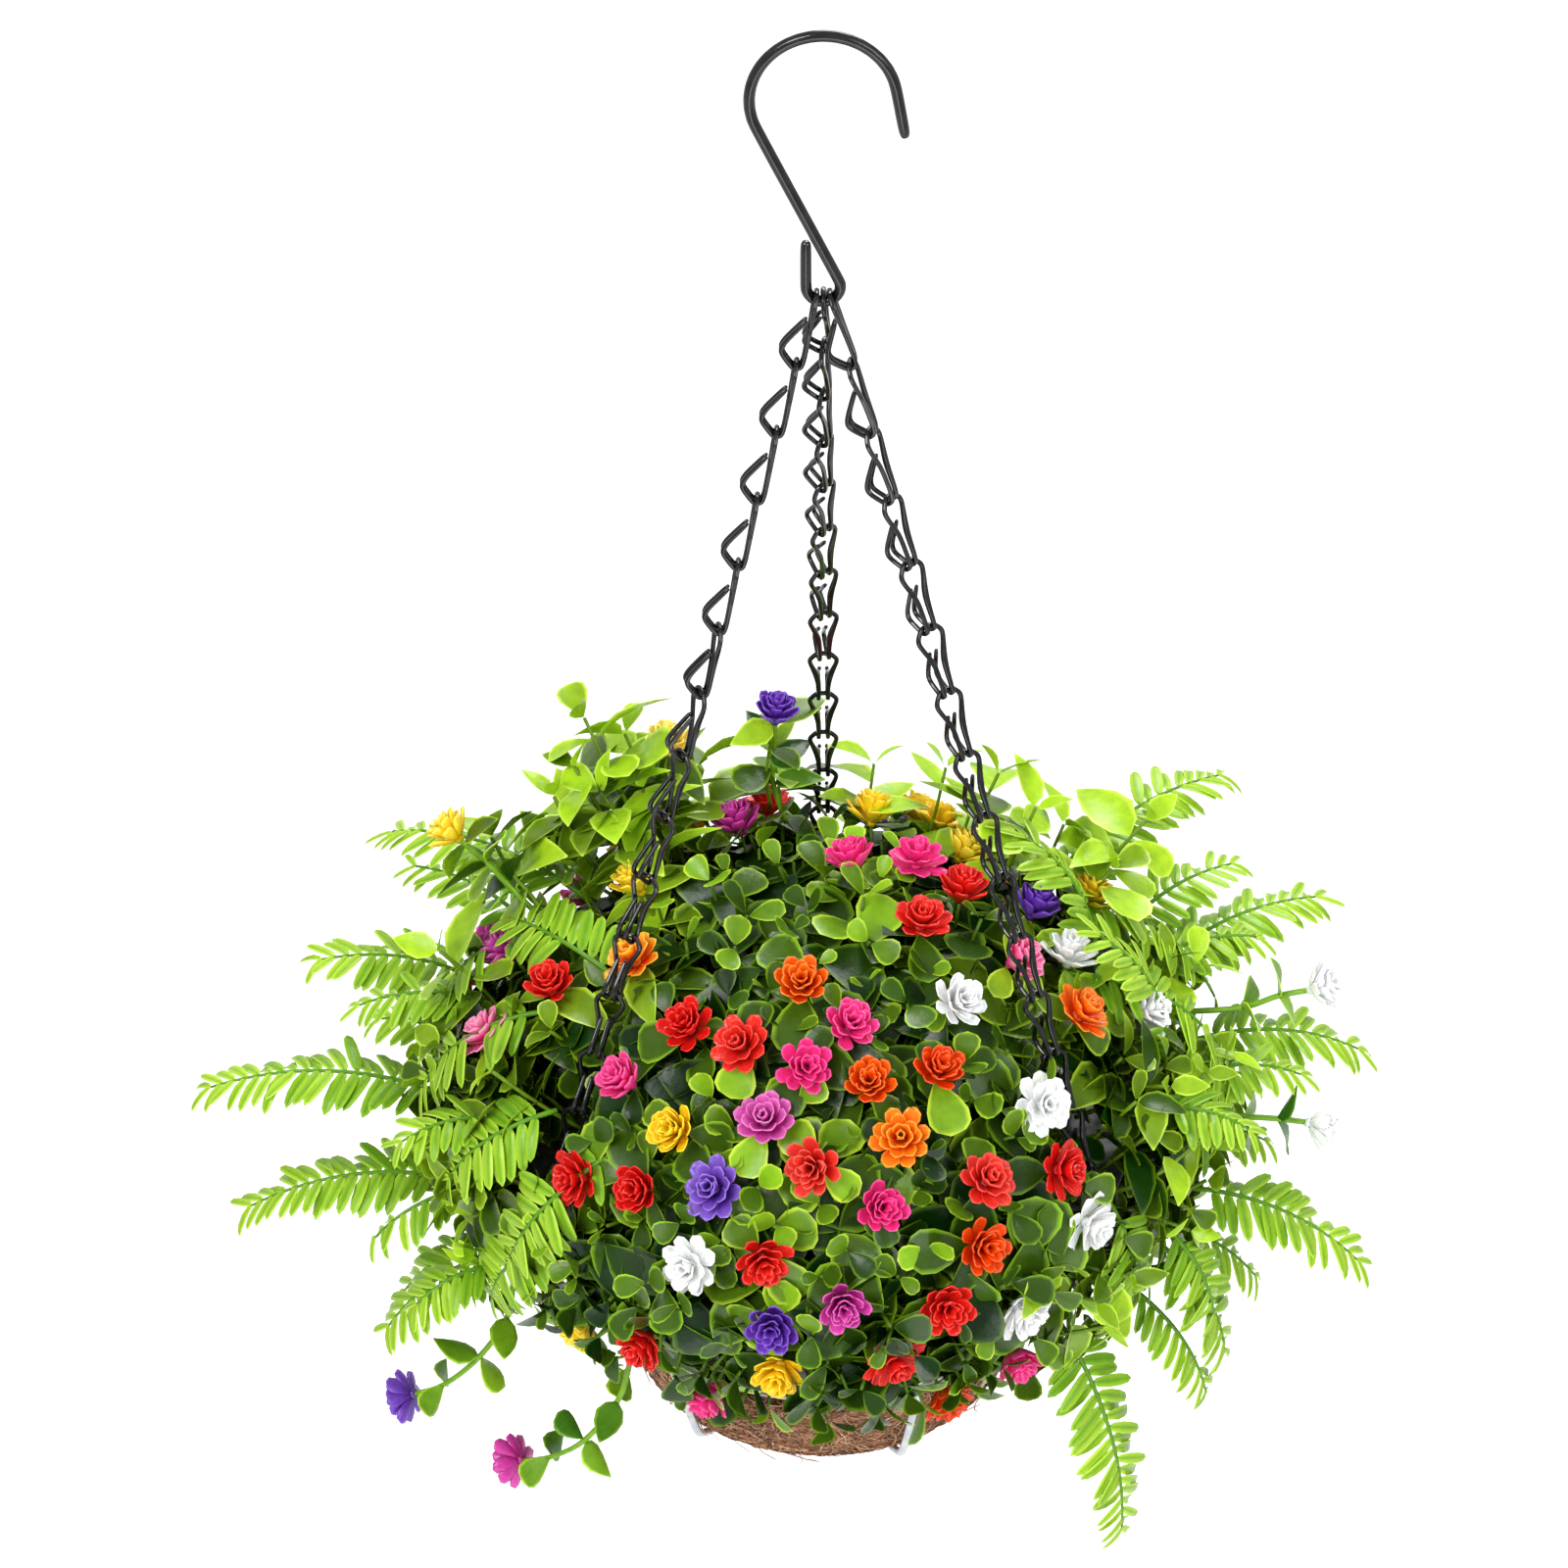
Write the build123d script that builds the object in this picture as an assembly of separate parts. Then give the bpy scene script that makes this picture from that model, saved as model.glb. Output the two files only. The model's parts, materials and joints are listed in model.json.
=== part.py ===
from build123d import *
import os
from math import asin, atan2, cos, degrees, radians, sin, sqrt, tan

# Hanging basket of artificial flowers, in millimetres, +Z up.
# The origin is where the hook rests on its rail: the top of the inside of the hook.

# ---------------------------------------------------------------- hook
HOOK_WIRE = 3.6          # thickness of the hook's wire
HOOK_BEND = 24.6         # centreline radius of the bend over the rail
CROOK_BEND = 5.9         # centreline radius of the small bend that holds the chains
BEND_SPACING = 72.0      # from the centre of one bend to the centre of the other
TIP_LENGTH = 18.0        # straight end beyond the upper bend
TIP_ANGLE = 10.0         # degrees that the straight end leans outwards
CROOK_LEG = 18.0         # straight end beyond the small bend
HOOK_STEP_ANGLE = 10.0   # degrees between the facets of the upper bend
CROOK_STEP_ANGLE = 15.0  # the same for the small bend

# ---------------------------------------------------------------- chains
CHAIN_WIRE = 1.6         # thickness of the wire of a link
LINK_PITCH = 26.5        # from the seat of one link to the seat of the next
LINKS = 14               # links in each chain
LOOP_HALF_WIDTH = 5.7    # half the width of a link's loop, on the centreline
LOOP_TOP_HALF = 2.5      # half the flat top of the loop
LOOP_WIDEST = 4.2        # from the top of the loop down to its widest place
NECK_HALF_WIDTH = 1.8    # half the spacing of the two legs below the loop
NECK_DROP = 14.5         # from the top of the loop down to where the legs run side by side
PRONG_REACH = 9.6        # how far the bent-up prongs stand out from the legs
PRONG_RISE = 6.6         # from the bottom of a link up to the prongs' outer bend
PRONG_END_RISE = 18.5    # from the bottom of a link up to the ends of its prongs
SEAT_REACH = 2.3         # from the legs out to the seat of the next link
SEAT_RISE = 2.5          # from the bottom of a link up to the seat of the next link
SEAT_FLOOR = 3.2         # width of the rounded bottom of the prongs
RUNNING_FIT = 0.1        # air between wires that move on each other
HOOK_FIT = 0.25          # air between the hook and the loops of the top links
WIRE_SIDES = 5           # facets round the thin wires
CHAIN_TURNS = {"left": -150.0, "right": -30.0, "back": 90.0}    # where they meet the top ring
CHAIN_SEATS = {"left": -45.0, "right": 45.0, "back": 0.0}        # degrees round the crook
# Which way the prongs point, in degrees round: at the top, at the bottom, and the first and last
# link of the stretch that is twisted from one to the other.
CHAIN_TWISTS = {"left": (180.0, 257.0, 4, 11), "right": (180.0, 125.0, 0, 5), "back": (180.0, 92.0, 0, 8)}
EYE_HALF_WIDTH = 4.6     # half the width of the closed eye above a rim hook
EYE_TOP_HALF = 2.9       # half the flat top of the eye
EYE_LENGTH = 9.8

# ---------------------------------------------------------------- wire basket
RIM_RADIUS = 120.0       # centreline of the top ring
RIM_DROP = 380.0         # from the chains' seat on the hook down to the top ring
RIM_WIRE = 4.0           # thickness of the top ring's wire
RIB_WIRE = 3.2           # thickness of the ribs and of the foot ring
RIBS = 6
FIRST_RIB_TURN = -127.5
RIB_CORNER_RADIUS = 84.0   # where a rib starts to bend in under the basket
RIB_CORNER_REACH = 21.0    # how far in the bend comes
RIB_CORNER_RISE = 13.0     # how far down the bend goes
BASKET_DEPTH = 121.0       # from the top ring down to the ribs' flat run
FOOT_RADIUS = 34.0         # centreline of the ring under the basket
BELT_WIRE = 1.8            # thickness of the thin ring inside the ribs
BELT_DROP = 64.0           # from the top ring down to the thin ring
WELD_GAP = 0.1             # air left where two wires are welded
RING_SIDES = 48            # facets round the rings, the liner and the pot

# ---------------------------------------------------------------- liner, pot and foam
COIR_THICKNESS = 7.0
COIR_EDGE_DROP = 71.0      # from the top ring down to the liner's upper edge
COIR_BOTTOM_RADIUS = 72.0
COIR_BEVEL = 11.0
POT_WALL = 1.2
POT_BEVEL = 7.5
POT_EDGE_GAP = 20.5        # from the top ring in to the pot's edge
FOAM_TOP_DROP = 14.0
SOFT_GAP = 0.3             # air round pieces that lie in each other

# ---------------------------------------------------------------- planting
MOUND_OVERHANG = 10.0      # how far the mound of leaves reaches beyond the top ring
SIDE_SWELL = 16.0          # how much further its bushes at the left and the right reach
MOUND_HEIGHT = 104.0       # half its height
MOUND_RISE = 5.0           # its middle above the top ring
MOUND_ANGLES = (-34.0, -15.0, 4.0, 23.0, 42.0, 62.0, 75.0, 85.0)   # degrees up the mound
CROWN_ANGLE = 62.0         # where the middle bush takes over from those round the side
MOUND_SIDES = 18           # facets round the mound
BUSH_UNDERSIDE = 3.6       # above the top ring
CHAIN_SLOT = 21.0          # room between two bushes for a chain
BUSH_SLIT = 0.6            # room between two bushes without a chain
SKIRT_GAP = 3.5            # from the top ring out to the leaves that hang over it
SKIRT_END_GAP = 1.4        # the same at the lower end of the leaves, from the ribs
PICK_WIDTH = 4.0
PICK_DEPTH = 40.0          # how far a bush's pick goes into the foam
PICK_CIRCLE = 76.0         # radius on which the picks stand
BLOSSOM_SIDES = 6
BLOSSOM_RADIUS = 10.4      # across the flats of the blossom's brim, halved
BLOSSOM_FOOT = 2.6         # the same at its foot
BLOSSOM_HEIGHT = 8.5
FROND_THICKNESS = 1.2
FROND_WIDTH = 34.0
FROND_ARCH_SHARE = 0.12    # rise of a frond's middle, as a share of its length
SHORT_FROND_WIDTH = 18.0
SPRIG_STEM = 1.6
SPRIG_LEAF = (15.0, 6.0)   # length and width of one leaf of a sprig

# Where the small blossoms sit: degrees round the basket and degrees up the mound.
PLANTING_ANGLES = {
    "yellow": ((120, 40), (137, 36), (70, 38), (74, 58), (60, 46), (163, 60), (40, 58), (20, 42),
               (-138, -21), (-97, -8), (-121, 39), (140, 5)),
    "red": ((104, 46), (170, 18), (-170, 45), (-132, 56), (-114, 57), (-18, 73), (12, 66), (-137, 22),
            (-124, 26), (-59, 28), (-44, 24), (-91, 38), (-121, -10), (-70, 7), (-79, -6), (-101, 20)),
    "orange": ((-100, 70), (-60, 50), (-78, 51), (-73, 41), (-20, 46), (-63, 17), (-67, -29), (-163, 60),
               (120, 10)),
    "pink": ((58, 80), (37, 70), (-16, 60), (-82, 62), (-96, 55), (-171, 30), (-80, 29), (-54, -20),
             (-110, -24), (-137, 42), (60, 5), (110, -8)),
    "magenta": ((118, 58), (170, 34), (158, 20), (140, 21), (-87, 11), (-103, 44), (102, 20)),
    "violet": ((128, 20), (-110, 31), (46, 43), (8, 57), (-98, 5), (75, 20)),
    "white": ((-43, 60), (-6, 34), (-5, 50), (-40, 36), (-40, 9), (-56, -2), (-112, 15),
              (163, -12), (50, 16), (72, -12), (130, -18)),
}

# Sprigs that stand out of the mound: degrees round and up at the foot, then the stem's bends,
# measured from its foot.
SPRIGS = {
    "side_sprig_1": (6.0, 20.0, ((26, -2, 4), (40, -3, 11), (52, -4, 15))),
    "side_sprig_2": (-3.0, 0.0, ((19, -1, 1), (32, -3, 2), (44, -4, 1))),
    "trailing_sprig_1": (-159.0, -26.0, ((-3, -3, -22), (-15, -4, -44), (-30, -1, -63), (-43, 2, -72))),
    "trailing_sprig_2": (-128.0, -24.0, ((-6, -4, -23), (-20, -1, -49), (-34, 7, -67), (-46, 14, -77))),
    "upright_sprig_1": (102.0, 57.0, ((-5, 3, 17), (-5, 1, 33), (-4, -1, 51))),
    "upright_sprig_2": (133.0, 46.0, ((-5, 12, 13), (-2, 10, 27), (0, 8, 43))),
    "upright_sprig_3": (172.0, 46.0, ((-18, 6, 18), (-28, 11, 28), (-38, 16, 35))),
}

# Fern fronds: degrees round, degrees up the mound, how far the tip reaches beyond the mound, the
# tip's height above the top ring and its degrees round the basket.
FRONDS = {
    "fern_left_1": (160.0, 48.0, 57.0, 82.0, 156.0),
    "fern_left_2": (159.0, 9.0, 72.0, 46.0, 168.0),
    "fern_left_3": (180.0, 2.0, 110.0, 16.0, 180.0),
    "fern_left_4": (191.0, -8.0, 96.0, -12.0, 190.0),
    "fern_left_5": (200.0, -20.0, 52.0, -52.0, 201.0),
    "fern_right_1": (40.0, 28.0, 72.0, 73.0, 38.0),
    "fern_right_2": (20.0, 16.0, 80.0, 50.0, 21.0),
    "fern_right_3": (11.0, 4.0, 86.0, 6.0, 9.0),
    "fern_right_4": (-10.0, -12.0, 84.0, -40.0, -11.0),
    "fern_right_5": (-19.0, -18.0, 40.0, -72.0, -20.0),
    "fern_right_6": (-40.0, -24.0, 30.0, -122.0, -42.0),
}

# Short fronds that are fixed among the leaves, in the same way.
SHORT_FRONDS = {
    "left": ((156, 28, 48, 66, 155), (176, 26, 50, 52, 178), (200, 20, 40, 40, 200), (166, 2, 52, 14, 167),
             (197, -2, 52, -14, 198), (206, -14, 44, -30, 206), (183, -14, 54, -22, 182),
             (192, -26, 40, -62, 192), (136, 16, 30, 44, 134)),
    "right": ((22, 28, 46, 70, 24), (12, 28, 44, 60, 13), (-2, 12, 56, 26, -2), (-18, 20, 40, 42, -18),
              (3, -12, 46, -22, 3), (14, -10, 48, -20, 14), (-22, -8, 36, -44, -24), (36, 2, 42, 12, 35),
              (-24, -26, 36, -84, -25), (-8, -26, 44, -66, -8)),
}


def bent_wire(points, thickness, sides=6):
    """A wire that runs straight from point to point, mitred at each bend."""
    first_run = Vector(*points[1]) - Vector(*points[0])
    section = Plane(origin=points[0], z_dir=first_run) * RegularPolygon(thickness / 2, sides)
    return sweep(section, path=Polyline(*points), transition=Transition.RIGHT)


def around(degrees_round, radius, height=0.0):
    """The point at this many degrees round the basket's axis."""
    angle = radians(degrees_round)
    return Vector(radius * cos(angle), radius * sin(angle), height)


def ring(radius, thickness, height, sides=6):
    """A closed ring of wire, lying flat at the given height, made of short straight runs."""
    step = 360.0 / sides
    section = [around(step * number, thickness / 2) for number in range(sides)]
    turns = [360.0 / RING_SIDES * number for number in range(RING_SIDES)]
    faces = []
    for number, turn in enumerate(turns):
        for side, corner in enumerate(section):
            before = section[side - 1]
            outline = [around(turns[number - 1], radius + before.X, height + before.Y),
                       around(turns[number - 1], radius + corner.X, height + corner.Y),
                       around(turn, radius + corner.X, height + corner.Y),
                       around(turn, radius + before.X, height + before.Y)]
            faces.append(make_face(Polyline(*outline, close=True)))
    return Solid(Shell(faces))


def faceted_block(sides, radius_below, radius_above, bottom, top):
    """A block between two level polygons, its flats at these radii from the axis."""
    corner = 1 / cos(radians(180.0 / sides))
    turns = [360.0 / sides * (number + 0.5) for number in range(sides)]
    low = [tuple(around(turn, radius_below * corner, bottom)) for turn in turns]
    high = [tuple(around(turn, radius_above * corner, top)) for turn in turns]
    outlines = [low, high]
    outlines += [(low[n - 1], low[n], high[n], high[n - 1]) for n in range(sides)]
    return Solid(Shell([make_face(Polyline(*outline, close=True)) for outline in outlines]))


def mound_block(radius_below, radius_above, bottom, top):
    """A block with the mound's facets."""
    return faceted_block(MOUND_SIDES, radius_below, radius_above, bottom, top)


def solid_group(solids, name):
    """Separate pieces of one kind, kept in one file."""
    return Compound(label=name, children=list(solids))


# ---------------------------------------------------------------- heights worked out from the sizes
HOOK_BEND_Z = HOOK_WIRE / 2 - HOOK_BEND
CROOK_Z = HOOK_BEND_Z - BEND_SPACING
CHAIN_SEAT_RADIUS = CROOK_BEND - HOOK_WIRE / 2 - CHAIN_WIRE / 2 - HOOK_FIT
CHAIN_SEAT_Z = CROOK_Z - CHAIN_SEAT_RADIUS
LINK_LENGTH = LINK_PITCH + SEAT_RISE
RIM_Z = CHAIN_SEAT_Z - RIM_DROP
RIM_HOOK_BEND = RIM_WIRE / 2 + CHAIN_WIRE / 2 + RUNNING_FIT
RIB_TOP_RADIUS = RIM_RADIUS - RIM_WIRE / 2 - RIB_WIRE / 2 - 2 * WELD_GAP
FOOT_Z = RIM_Z - BASKET_DEPTH
MOUND_RADIUS = RIM_RADIUS + MOUND_OVERHANG


# ---------------------------------------------------------------- hook
def bend_points(centre_z, radius, start, end, step_angle):
    """Points along an upright bend, from one number of degrees to the other."""
    steps = round(abs(end - start) / step_angle)
    angles = [radians(start + (end - start) * step / steps) for step in range(steps + 1)]
    return [(radius * cos(angle), 0, centre_z + radius * sin(angle)) for angle in angles]


def make_hook():
    """One round wire: a wide bend over the rail, a straight shank and a small crook for the chains."""
    lean = degrees(asin((HOOK_BEND + CROOK_BEND) / BEND_SPACING))
    front = bend_points(HOOK_BEND_Z, HOOK_BEND, TIP_ANGLE, 90, HOOK_STEP_ANGLE)
    back = bend_points(HOOK_BEND_Z, HOOK_BEND, 90, 180 + lean, HOOK_STEP_ANGLE)
    crook = bend_points(CROOK_Z, CROOK_BEND, lean, -180, CROOK_STEP_ANGLE)
    tip = Vector(*front[0]) + Vector(sin(radians(TIP_ANGLE)), 0, -cos(radians(TIP_ANGLE))) * TIP_LENGTH
    end = Vector(*crook[-1]) + Vector(0, 0, CROOK_LEG)
    return bent_wire([tuple(tip)] + front + back[1:] + crook + [tuple(end)], HOOK_WIRE, 8)


# ---------------------------------------------------------------- chains
def make_link():
    """One link, hanging from the middle of its loop: a keyhole loop whose two legs turn up as prongs."""
    bottom = -LINK_LENGTH
    half = [
        (LOOP_TOP_HALF, 0, 0),
        (LOOP_HALF_WIDTH, 0, -LOOP_WIDEST),
        (NECK_HALF_WIDTH, 0, -NECK_DROP),
        (NECK_HALF_WIDTH, 0, bottom + SEAT_FLOOR * 0.4),
        (NECK_HALF_WIDTH, SEAT_FLOOR, bottom),
        (NECK_HALF_WIDTH, PRONG_REACH, bottom + PRONG_RISE),
        (NECK_HALF_WIDTH - CHAIN_WIRE / 4, CHAIN_WIRE + RUNNING_FIT, bottom + PRONG_END_RISE),
    ]
    other_half = [(-x, y, z) for x, y, z in reversed(half)]
    return bent_wire(other_half + half, CHAIN_WIRE, WIRE_SIDES)


def link_heading(chain, number):
    """Which way the prongs of a link point, in degrees round: the chains are a little twisted."""
    start, end, first, last = CHAIN_TWISTS[chain]
    share = min(max((number - first) / (last - first), 0.0), 1.0)
    return start + (end - start) * share


def chain_ends(chain):
    """The middle of the top link's loop on the hook, and the point beside the top ring."""
    spread = radians(CHAIN_SEATS[chain])
    seat = Vector(CHAIN_SEAT_RADIUS * sin(spread), 0, CROOK_Z - CHAIN_SEAT_RADIUS * cos(spread))
    return seat, around(CHAIN_TURNS[chain], RIM_RADIUS + RIM_HOOK_BEND, RIM_Z)


def hanging_plane(point, downwards, heading, lean=0.0):
    """A frame with -Z along the chain and +Y towards the heading, leant by the seat's offset."""
    out = around(heading, 1.0)
    out = (out - downwards * out.dot(downwards)).normalized()
    y_dir = out * cos(lean) + downwards * sin(lean)
    z_dir = out * sin(lean) - downwards * cos(lean)
    return Plane(origin=point, x_dir=y_dir.cross(z_dir), z_dir=z_dir)


def chain_planes(chain):
    """The hanging frame of each link, and that of the rim hook below them."""
    seat, foot = chain_ends(chain)
    downwards = (foot - seat).normalized()
    step = sqrt(LINK_PITCH**2 + SEAT_REACH**2)
    lean = atan2(SEAT_REACH, LINK_PITCH)
    links = [
        hanging_plane(seat + downwards * step * number, downwards, link_heading(chain, number), lean)
        for number in range(LINKS)
    ]
    top = seat + downwards * step * LINKS
    return links, hanging_plane(top, downwards, CHAIN_TURNS[chain]), (foot - top).length


def make_chain(chain):
    """The links of one chain as separate solids."""
    link = make_link()
    links, _, _ = chain_planes(chain)
    return solid_group([plane.location * link for plane in links], "chain_" + chain)


def make_rim_hook(chain):
    """The wire at a chain's end: a closed eye above, a straight shank and a hook round the top ring."""
    _, plane, drop = chain_planes(chain)
    turn = radians(link_heading(chain, LINKS - 1) - CHAIN_TURNS[chain])
    corner = RIM_HOOK_BEND * tan(radians(22.5))
    eye = [(CHAIN_WIRE, CHAIN_WIRE - EYE_LENGTH), (EYE_HALF_WIDTH, -EYE_LENGTH / 2), (EYE_TOP_HALF, 0),
           (-EYE_TOP_HALF, 0), (-EYE_HALF_WIDTH, -EYE_LENGTH / 2)]
    points = [(x * cos(turn), x * sin(turn), z) for x, z in eye]
    points += [
        (0, 0, -EYE_LENGTH - CHAIN_WIRE / 2),
        (0, 0, -drop - corner),
        (0, -RIM_HOOK_BEND + corner, -drop - RIM_HOOK_BEND),
        (0, -RIM_HOOK_BEND - corner, -drop - RIM_HOOK_BEND),
        (0, -2 * RIM_HOOK_BEND, -drop - corner),
        (0, -2 * RIM_HOOK_BEND, -drop + RIM_HOOK_BEND),
    ]
    return plane.location * bent_wire(points, CHAIN_WIRE, WIRE_SIDES)


# ---------------------------------------------------------------- wire basket
def rib_radius(drop):
    """Centreline radius of a rib this far below the top ring, on its straight wall."""
    share = drop / (BASKET_DEPTH - RIB_CORNER_RISE)
    return RIB_TOP_RADIUS + (RIB_CORNER_RADIUS - RIB_TOP_RADIUS) * share


def make_rib(number):
    """A rib: down the wall, in under the basket and up to the foot ring."""
    turn = FIRST_RIB_TURN + 360.0 / RIBS * number
    profile = [(RIB_TOP_RADIUS, RIM_Z + RIM_WIRE / 2)]
    for angle in (0, 30, 60, 90):
        radius = RIB_CORNER_RADIUS - RIB_CORNER_REACH * (1 - cos(radians(angle)))
        profile.append((radius, FOOT_Z + RIB_CORNER_RISE * (1 - sin(radians(angle)))))
    profile.append((FOOT_RADIUS + RIB_WIRE + WELD_GAP, FOOT_Z))
    points = [tuple(around(turn, radius, height)) for radius, height in profile]
    return bent_wire(points, RIB_WIRE)


def make_belt_ring():
    """The thin ring inside the ribs, just above the liner's edge."""
    inside = rib_radius(BELT_DROP) - (RIB_WIRE + BELT_WIRE) / 2 - 2 * WELD_GAP
    return ring(inside, BELT_WIRE, RIM_Z - BELT_DROP, sides=4)


# ---------------------------------------------------------------- liner, pot and foam
COIR_BOTTOM = RIM_Z - BASKET_DEPTH + RIB_WIRE / 2 + SOFT_GAP
COIR_EDGE_RADIUS = rib_radius(COIR_EDGE_DROP) - RIB_WIRE / 2 - 3 * SOFT_GAP
POT_BOTTOM = COIR_BOTTOM + COIR_THICKNESS + SOFT_GAP
POT_BOTTOM_RADIUS = COIR_BOTTOM_RADIUS - COIR_THICKNESS + 1.0


def cup(bottom_radius, bottom, top_radius, top, bevel):
    """A solid cup with a bevelled corner below and a straight leaning wall."""
    lean = (top_radius - bottom_radius) / (top - bottom)
    shoulder = bottom_radius + lean * bevel
    foot = faceted_block(RING_SIDES, bottom_radius - bevel, shoulder, bottom, bottom + bevel)
    return foot + faceted_block(RING_SIDES, shoulder, top_radius, bottom + bevel, top)


def bowl(bottom_radius, bottom, top_radius, top, bevel, wall):
    """An open bowl with a flat bottom, a bevelled corner and a straight leaning wall."""
    lean = (top_radius - bottom_radius) / (top - bottom)
    across = wall * sqrt(1 + lean**2)
    floor_radius = bottom_radius + lean * wall - across
    inside = cup(floor_radius, bottom + wall, top_radius - across, top, bevel - wall / 2)
    return cup(bottom_radius, bottom, top_radius, top, bevel) - inside


def make_coir_liner():
    """The pressed coir dish that lies in the bottom of the wire basket."""
    edge = RIM_Z - COIR_EDGE_DROP
    return bowl(COIR_BOTTOM_RADIUS, COIR_BOTTOM, COIR_EDGE_RADIUS, edge, COIR_BEVEL, COIR_THICKNESS)


def pot_radius(height):
    """Outside radius of the pot's wall at this height."""
    share = (height - POT_BOTTOM) / (RIM_Z - POT_BOTTOM)
    return POT_BOTTOM_RADIUS + (RIM_RADIUS - POT_EDGE_GAP - POT_BOTTOM_RADIUS) * share


def make_inner_pot():
    """The thin black pot that holds the foam."""
    return bowl(POT_BOTTOM_RADIUS, POT_BOTTOM, pot_radius(RIM_Z), RIM_Z, POT_BEVEL, POT_WALL)


def make_foam_block():
    """The foam in the pot, with a hole for each bush's pick."""
    bottom = POT_BOTTOM + POT_WALL + SOFT_GAP
    top = RIM_Z - FOAM_TOP_DROP
    gap = POT_WALL + 2 * SOFT_GAP
    room = cos(radians(180.0 / MOUND_SIDES))
    shoulder_z = bottom + 2 * POT_BEVEL
    foot, shoulder, edge = [(pot_radius(z) - gap) * room for z in (bottom, shoulder_z, top)]
    block = mound_block(foot - POT_BEVEL, shoulder, bottom, shoulder_z)
    block += mound_block(shoulder, edge, shoulder_z, top)
    hole = extrude(RegularPolygon(PICK_WIDTH / 2 + SOFT_GAP, 6), amount=PICK_DEPTH + SOFT_GAP)
    for turn, radius in PICKS.values():
        block -= Pos(*around(turn, radius, top - PICK_DEPTH - SOFT_GAP)) * hole
    return block


# ---------------------------------------------------------------- planting
BUSH_TURNS = {"bush_%d" % (number + 1): -120.0 + 60.0 * number for number in range(6)}
PICKS = {name: (turn, PICK_CIRCLE) for name, turn in BUSH_TURNS.items()}
PICKS["crown_bush"] = (0.0, 0.0)
MOUND_Z = RIM_Z + MOUND_RISE


def mound_radius(turn):
    """Half the mound's width on this side: its bushes at the left and the right reach further."""
    at_side = abs(cos(radians(turn))) > cos(radians(30.0))
    return MOUND_RADIUS + SIDE_SWELL if at_side else MOUND_RADIUS


def mound_point(angle, radius=MOUND_RADIUS):
    """Radius and height of the mound's outside at this many degrees up."""
    return radius * cos(radians(angle)), MOUND_Z + MOUND_HEIGHT * sin(radians(angle))


def seat_plane(turn, angle):
    """A frame on a facet of the mound, its +Z straight out of the leaves."""
    lower = max(a for a in MOUND_ANGLES[:-1] if a <= angle)
    upper = MOUND_ANGLES[MOUND_ANGLES.index(lower) + 1]
    share = (angle - lower) / (upper - lower)
    reach = mound_radius(turn) if angle < CROWN_ANGLE else MOUND_RADIUS
    low_radius, low_z = mound_point(lower, reach)
    high_radius, high_z = mound_point(upper, reach)
    facet = 360.0 / MOUND_SIDES * round(turn * MOUND_SIDES / 360.0)
    radius = (low_radius + (high_radius - low_radius) * share) / cos(radians(turn - facet))
    height = low_z + (high_z - low_z) * share
    tilt = atan2(low_radius - high_radius, high_z - low_z)
    out = around(facet, cos(tilt), sin(tilt))
    side = Vector(0, 0, 1).cross(out).normalized()
    return Plane(origin=around(turn, radius, height), x_dir=side, z_dir=out)


def make_pick(name):
    """The stiff stem under a bush, pushed into the foam."""
    turn, radius = PICKS[name]
    top = RIM_Z + BUSH_UNDERSIDE + PICK_WIDTH
    bottom = RIM_Z - FOAM_TOP_DROP - PICK_DEPTH
    stem = extrude(RegularPolygon(PICK_WIDTH / 2, 6), amount=top - bottom)
    return Pos(*around(turn, radius, bottom)) * stem


def make_mound(radius):
    """A whole mound of leaves, stacked from one faceted block for each band."""
    rings = [mound_point(angle, radius) for angle in MOUND_ANGLES]
    mound = Part()
    for (radius_below, bottom), (radius_above, top) in zip(rings, rings[1:]):
        mound += mound_block(radius_below, radius_above, bottom, top)
    return mound


def basket_room():
    """The room that the leaves leave for the basket: over the pot, past the top ring and down the ribs."""
    end_z = mound_point(MOUND_ANGLES[0])[1]
    skirt = RIM_RADIUS + RIM_WIRE / 2 + SKIRT_GAP
    skirt_end = rib_radius(RIM_Z - end_z) + RIB_WIRE / 2 + SKIRT_END_GAP
    turn_in = RIM_Z - RIM_WIRE
    wall = mound_block(skirt_end, skirt, end_z, turn_in)
    return wall + mound_block(skirt, skirt, turn_in, RIM_Z + BUSH_UNDERSIDE)


def parted_mound(radius):
    """The leaves round the side, hollow for the basket and parted where the chains and slits run."""
    inner = mound_point(CROWN_ANGLE)[0]
    middle_room = mound_block(inner, inner, RIM_Z - BASKET_DEPTH, MOUND_Z + 2 * MOUND_HEIGHT)
    mound = make_mound(radius) - basket_room() - middle_room
    for number in range(6):
        turn = -150.0 + 60.0 * number
        width = CHAIN_SLOT if turn in CHAIN_TURNS.values() else BUSH_SLIT
        gap = Box(2 * radius, width, 4 * MOUND_HEIGHT, align=(Align.MIN, Align.CENTER, Align.CENTER))
        mound -= Pos(0, 0, MOUND_Z) * Rot(0, 0, turn) * gap
    return mound


def make_side_bushes():
    """The leaves of the six bushes round the side, each with its pick."""
    mounds = {radius: parted_mound(radius) for radius in (MOUND_RADIUS, MOUND_RADIUS + SIDE_SWELL)}
    bushes = {}
    for name, turn in BUSH_TURNS.items():
        middle = around(turn, MOUND_RADIUS * 3 / 4, MOUND_Z)
        parts = mounds[mound_radius(turn)].solids()
        bushes[name] = min(parts, key=lambda solid: (solid.center() - middle).length) + make_pick(name)
    return bushes


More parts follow.
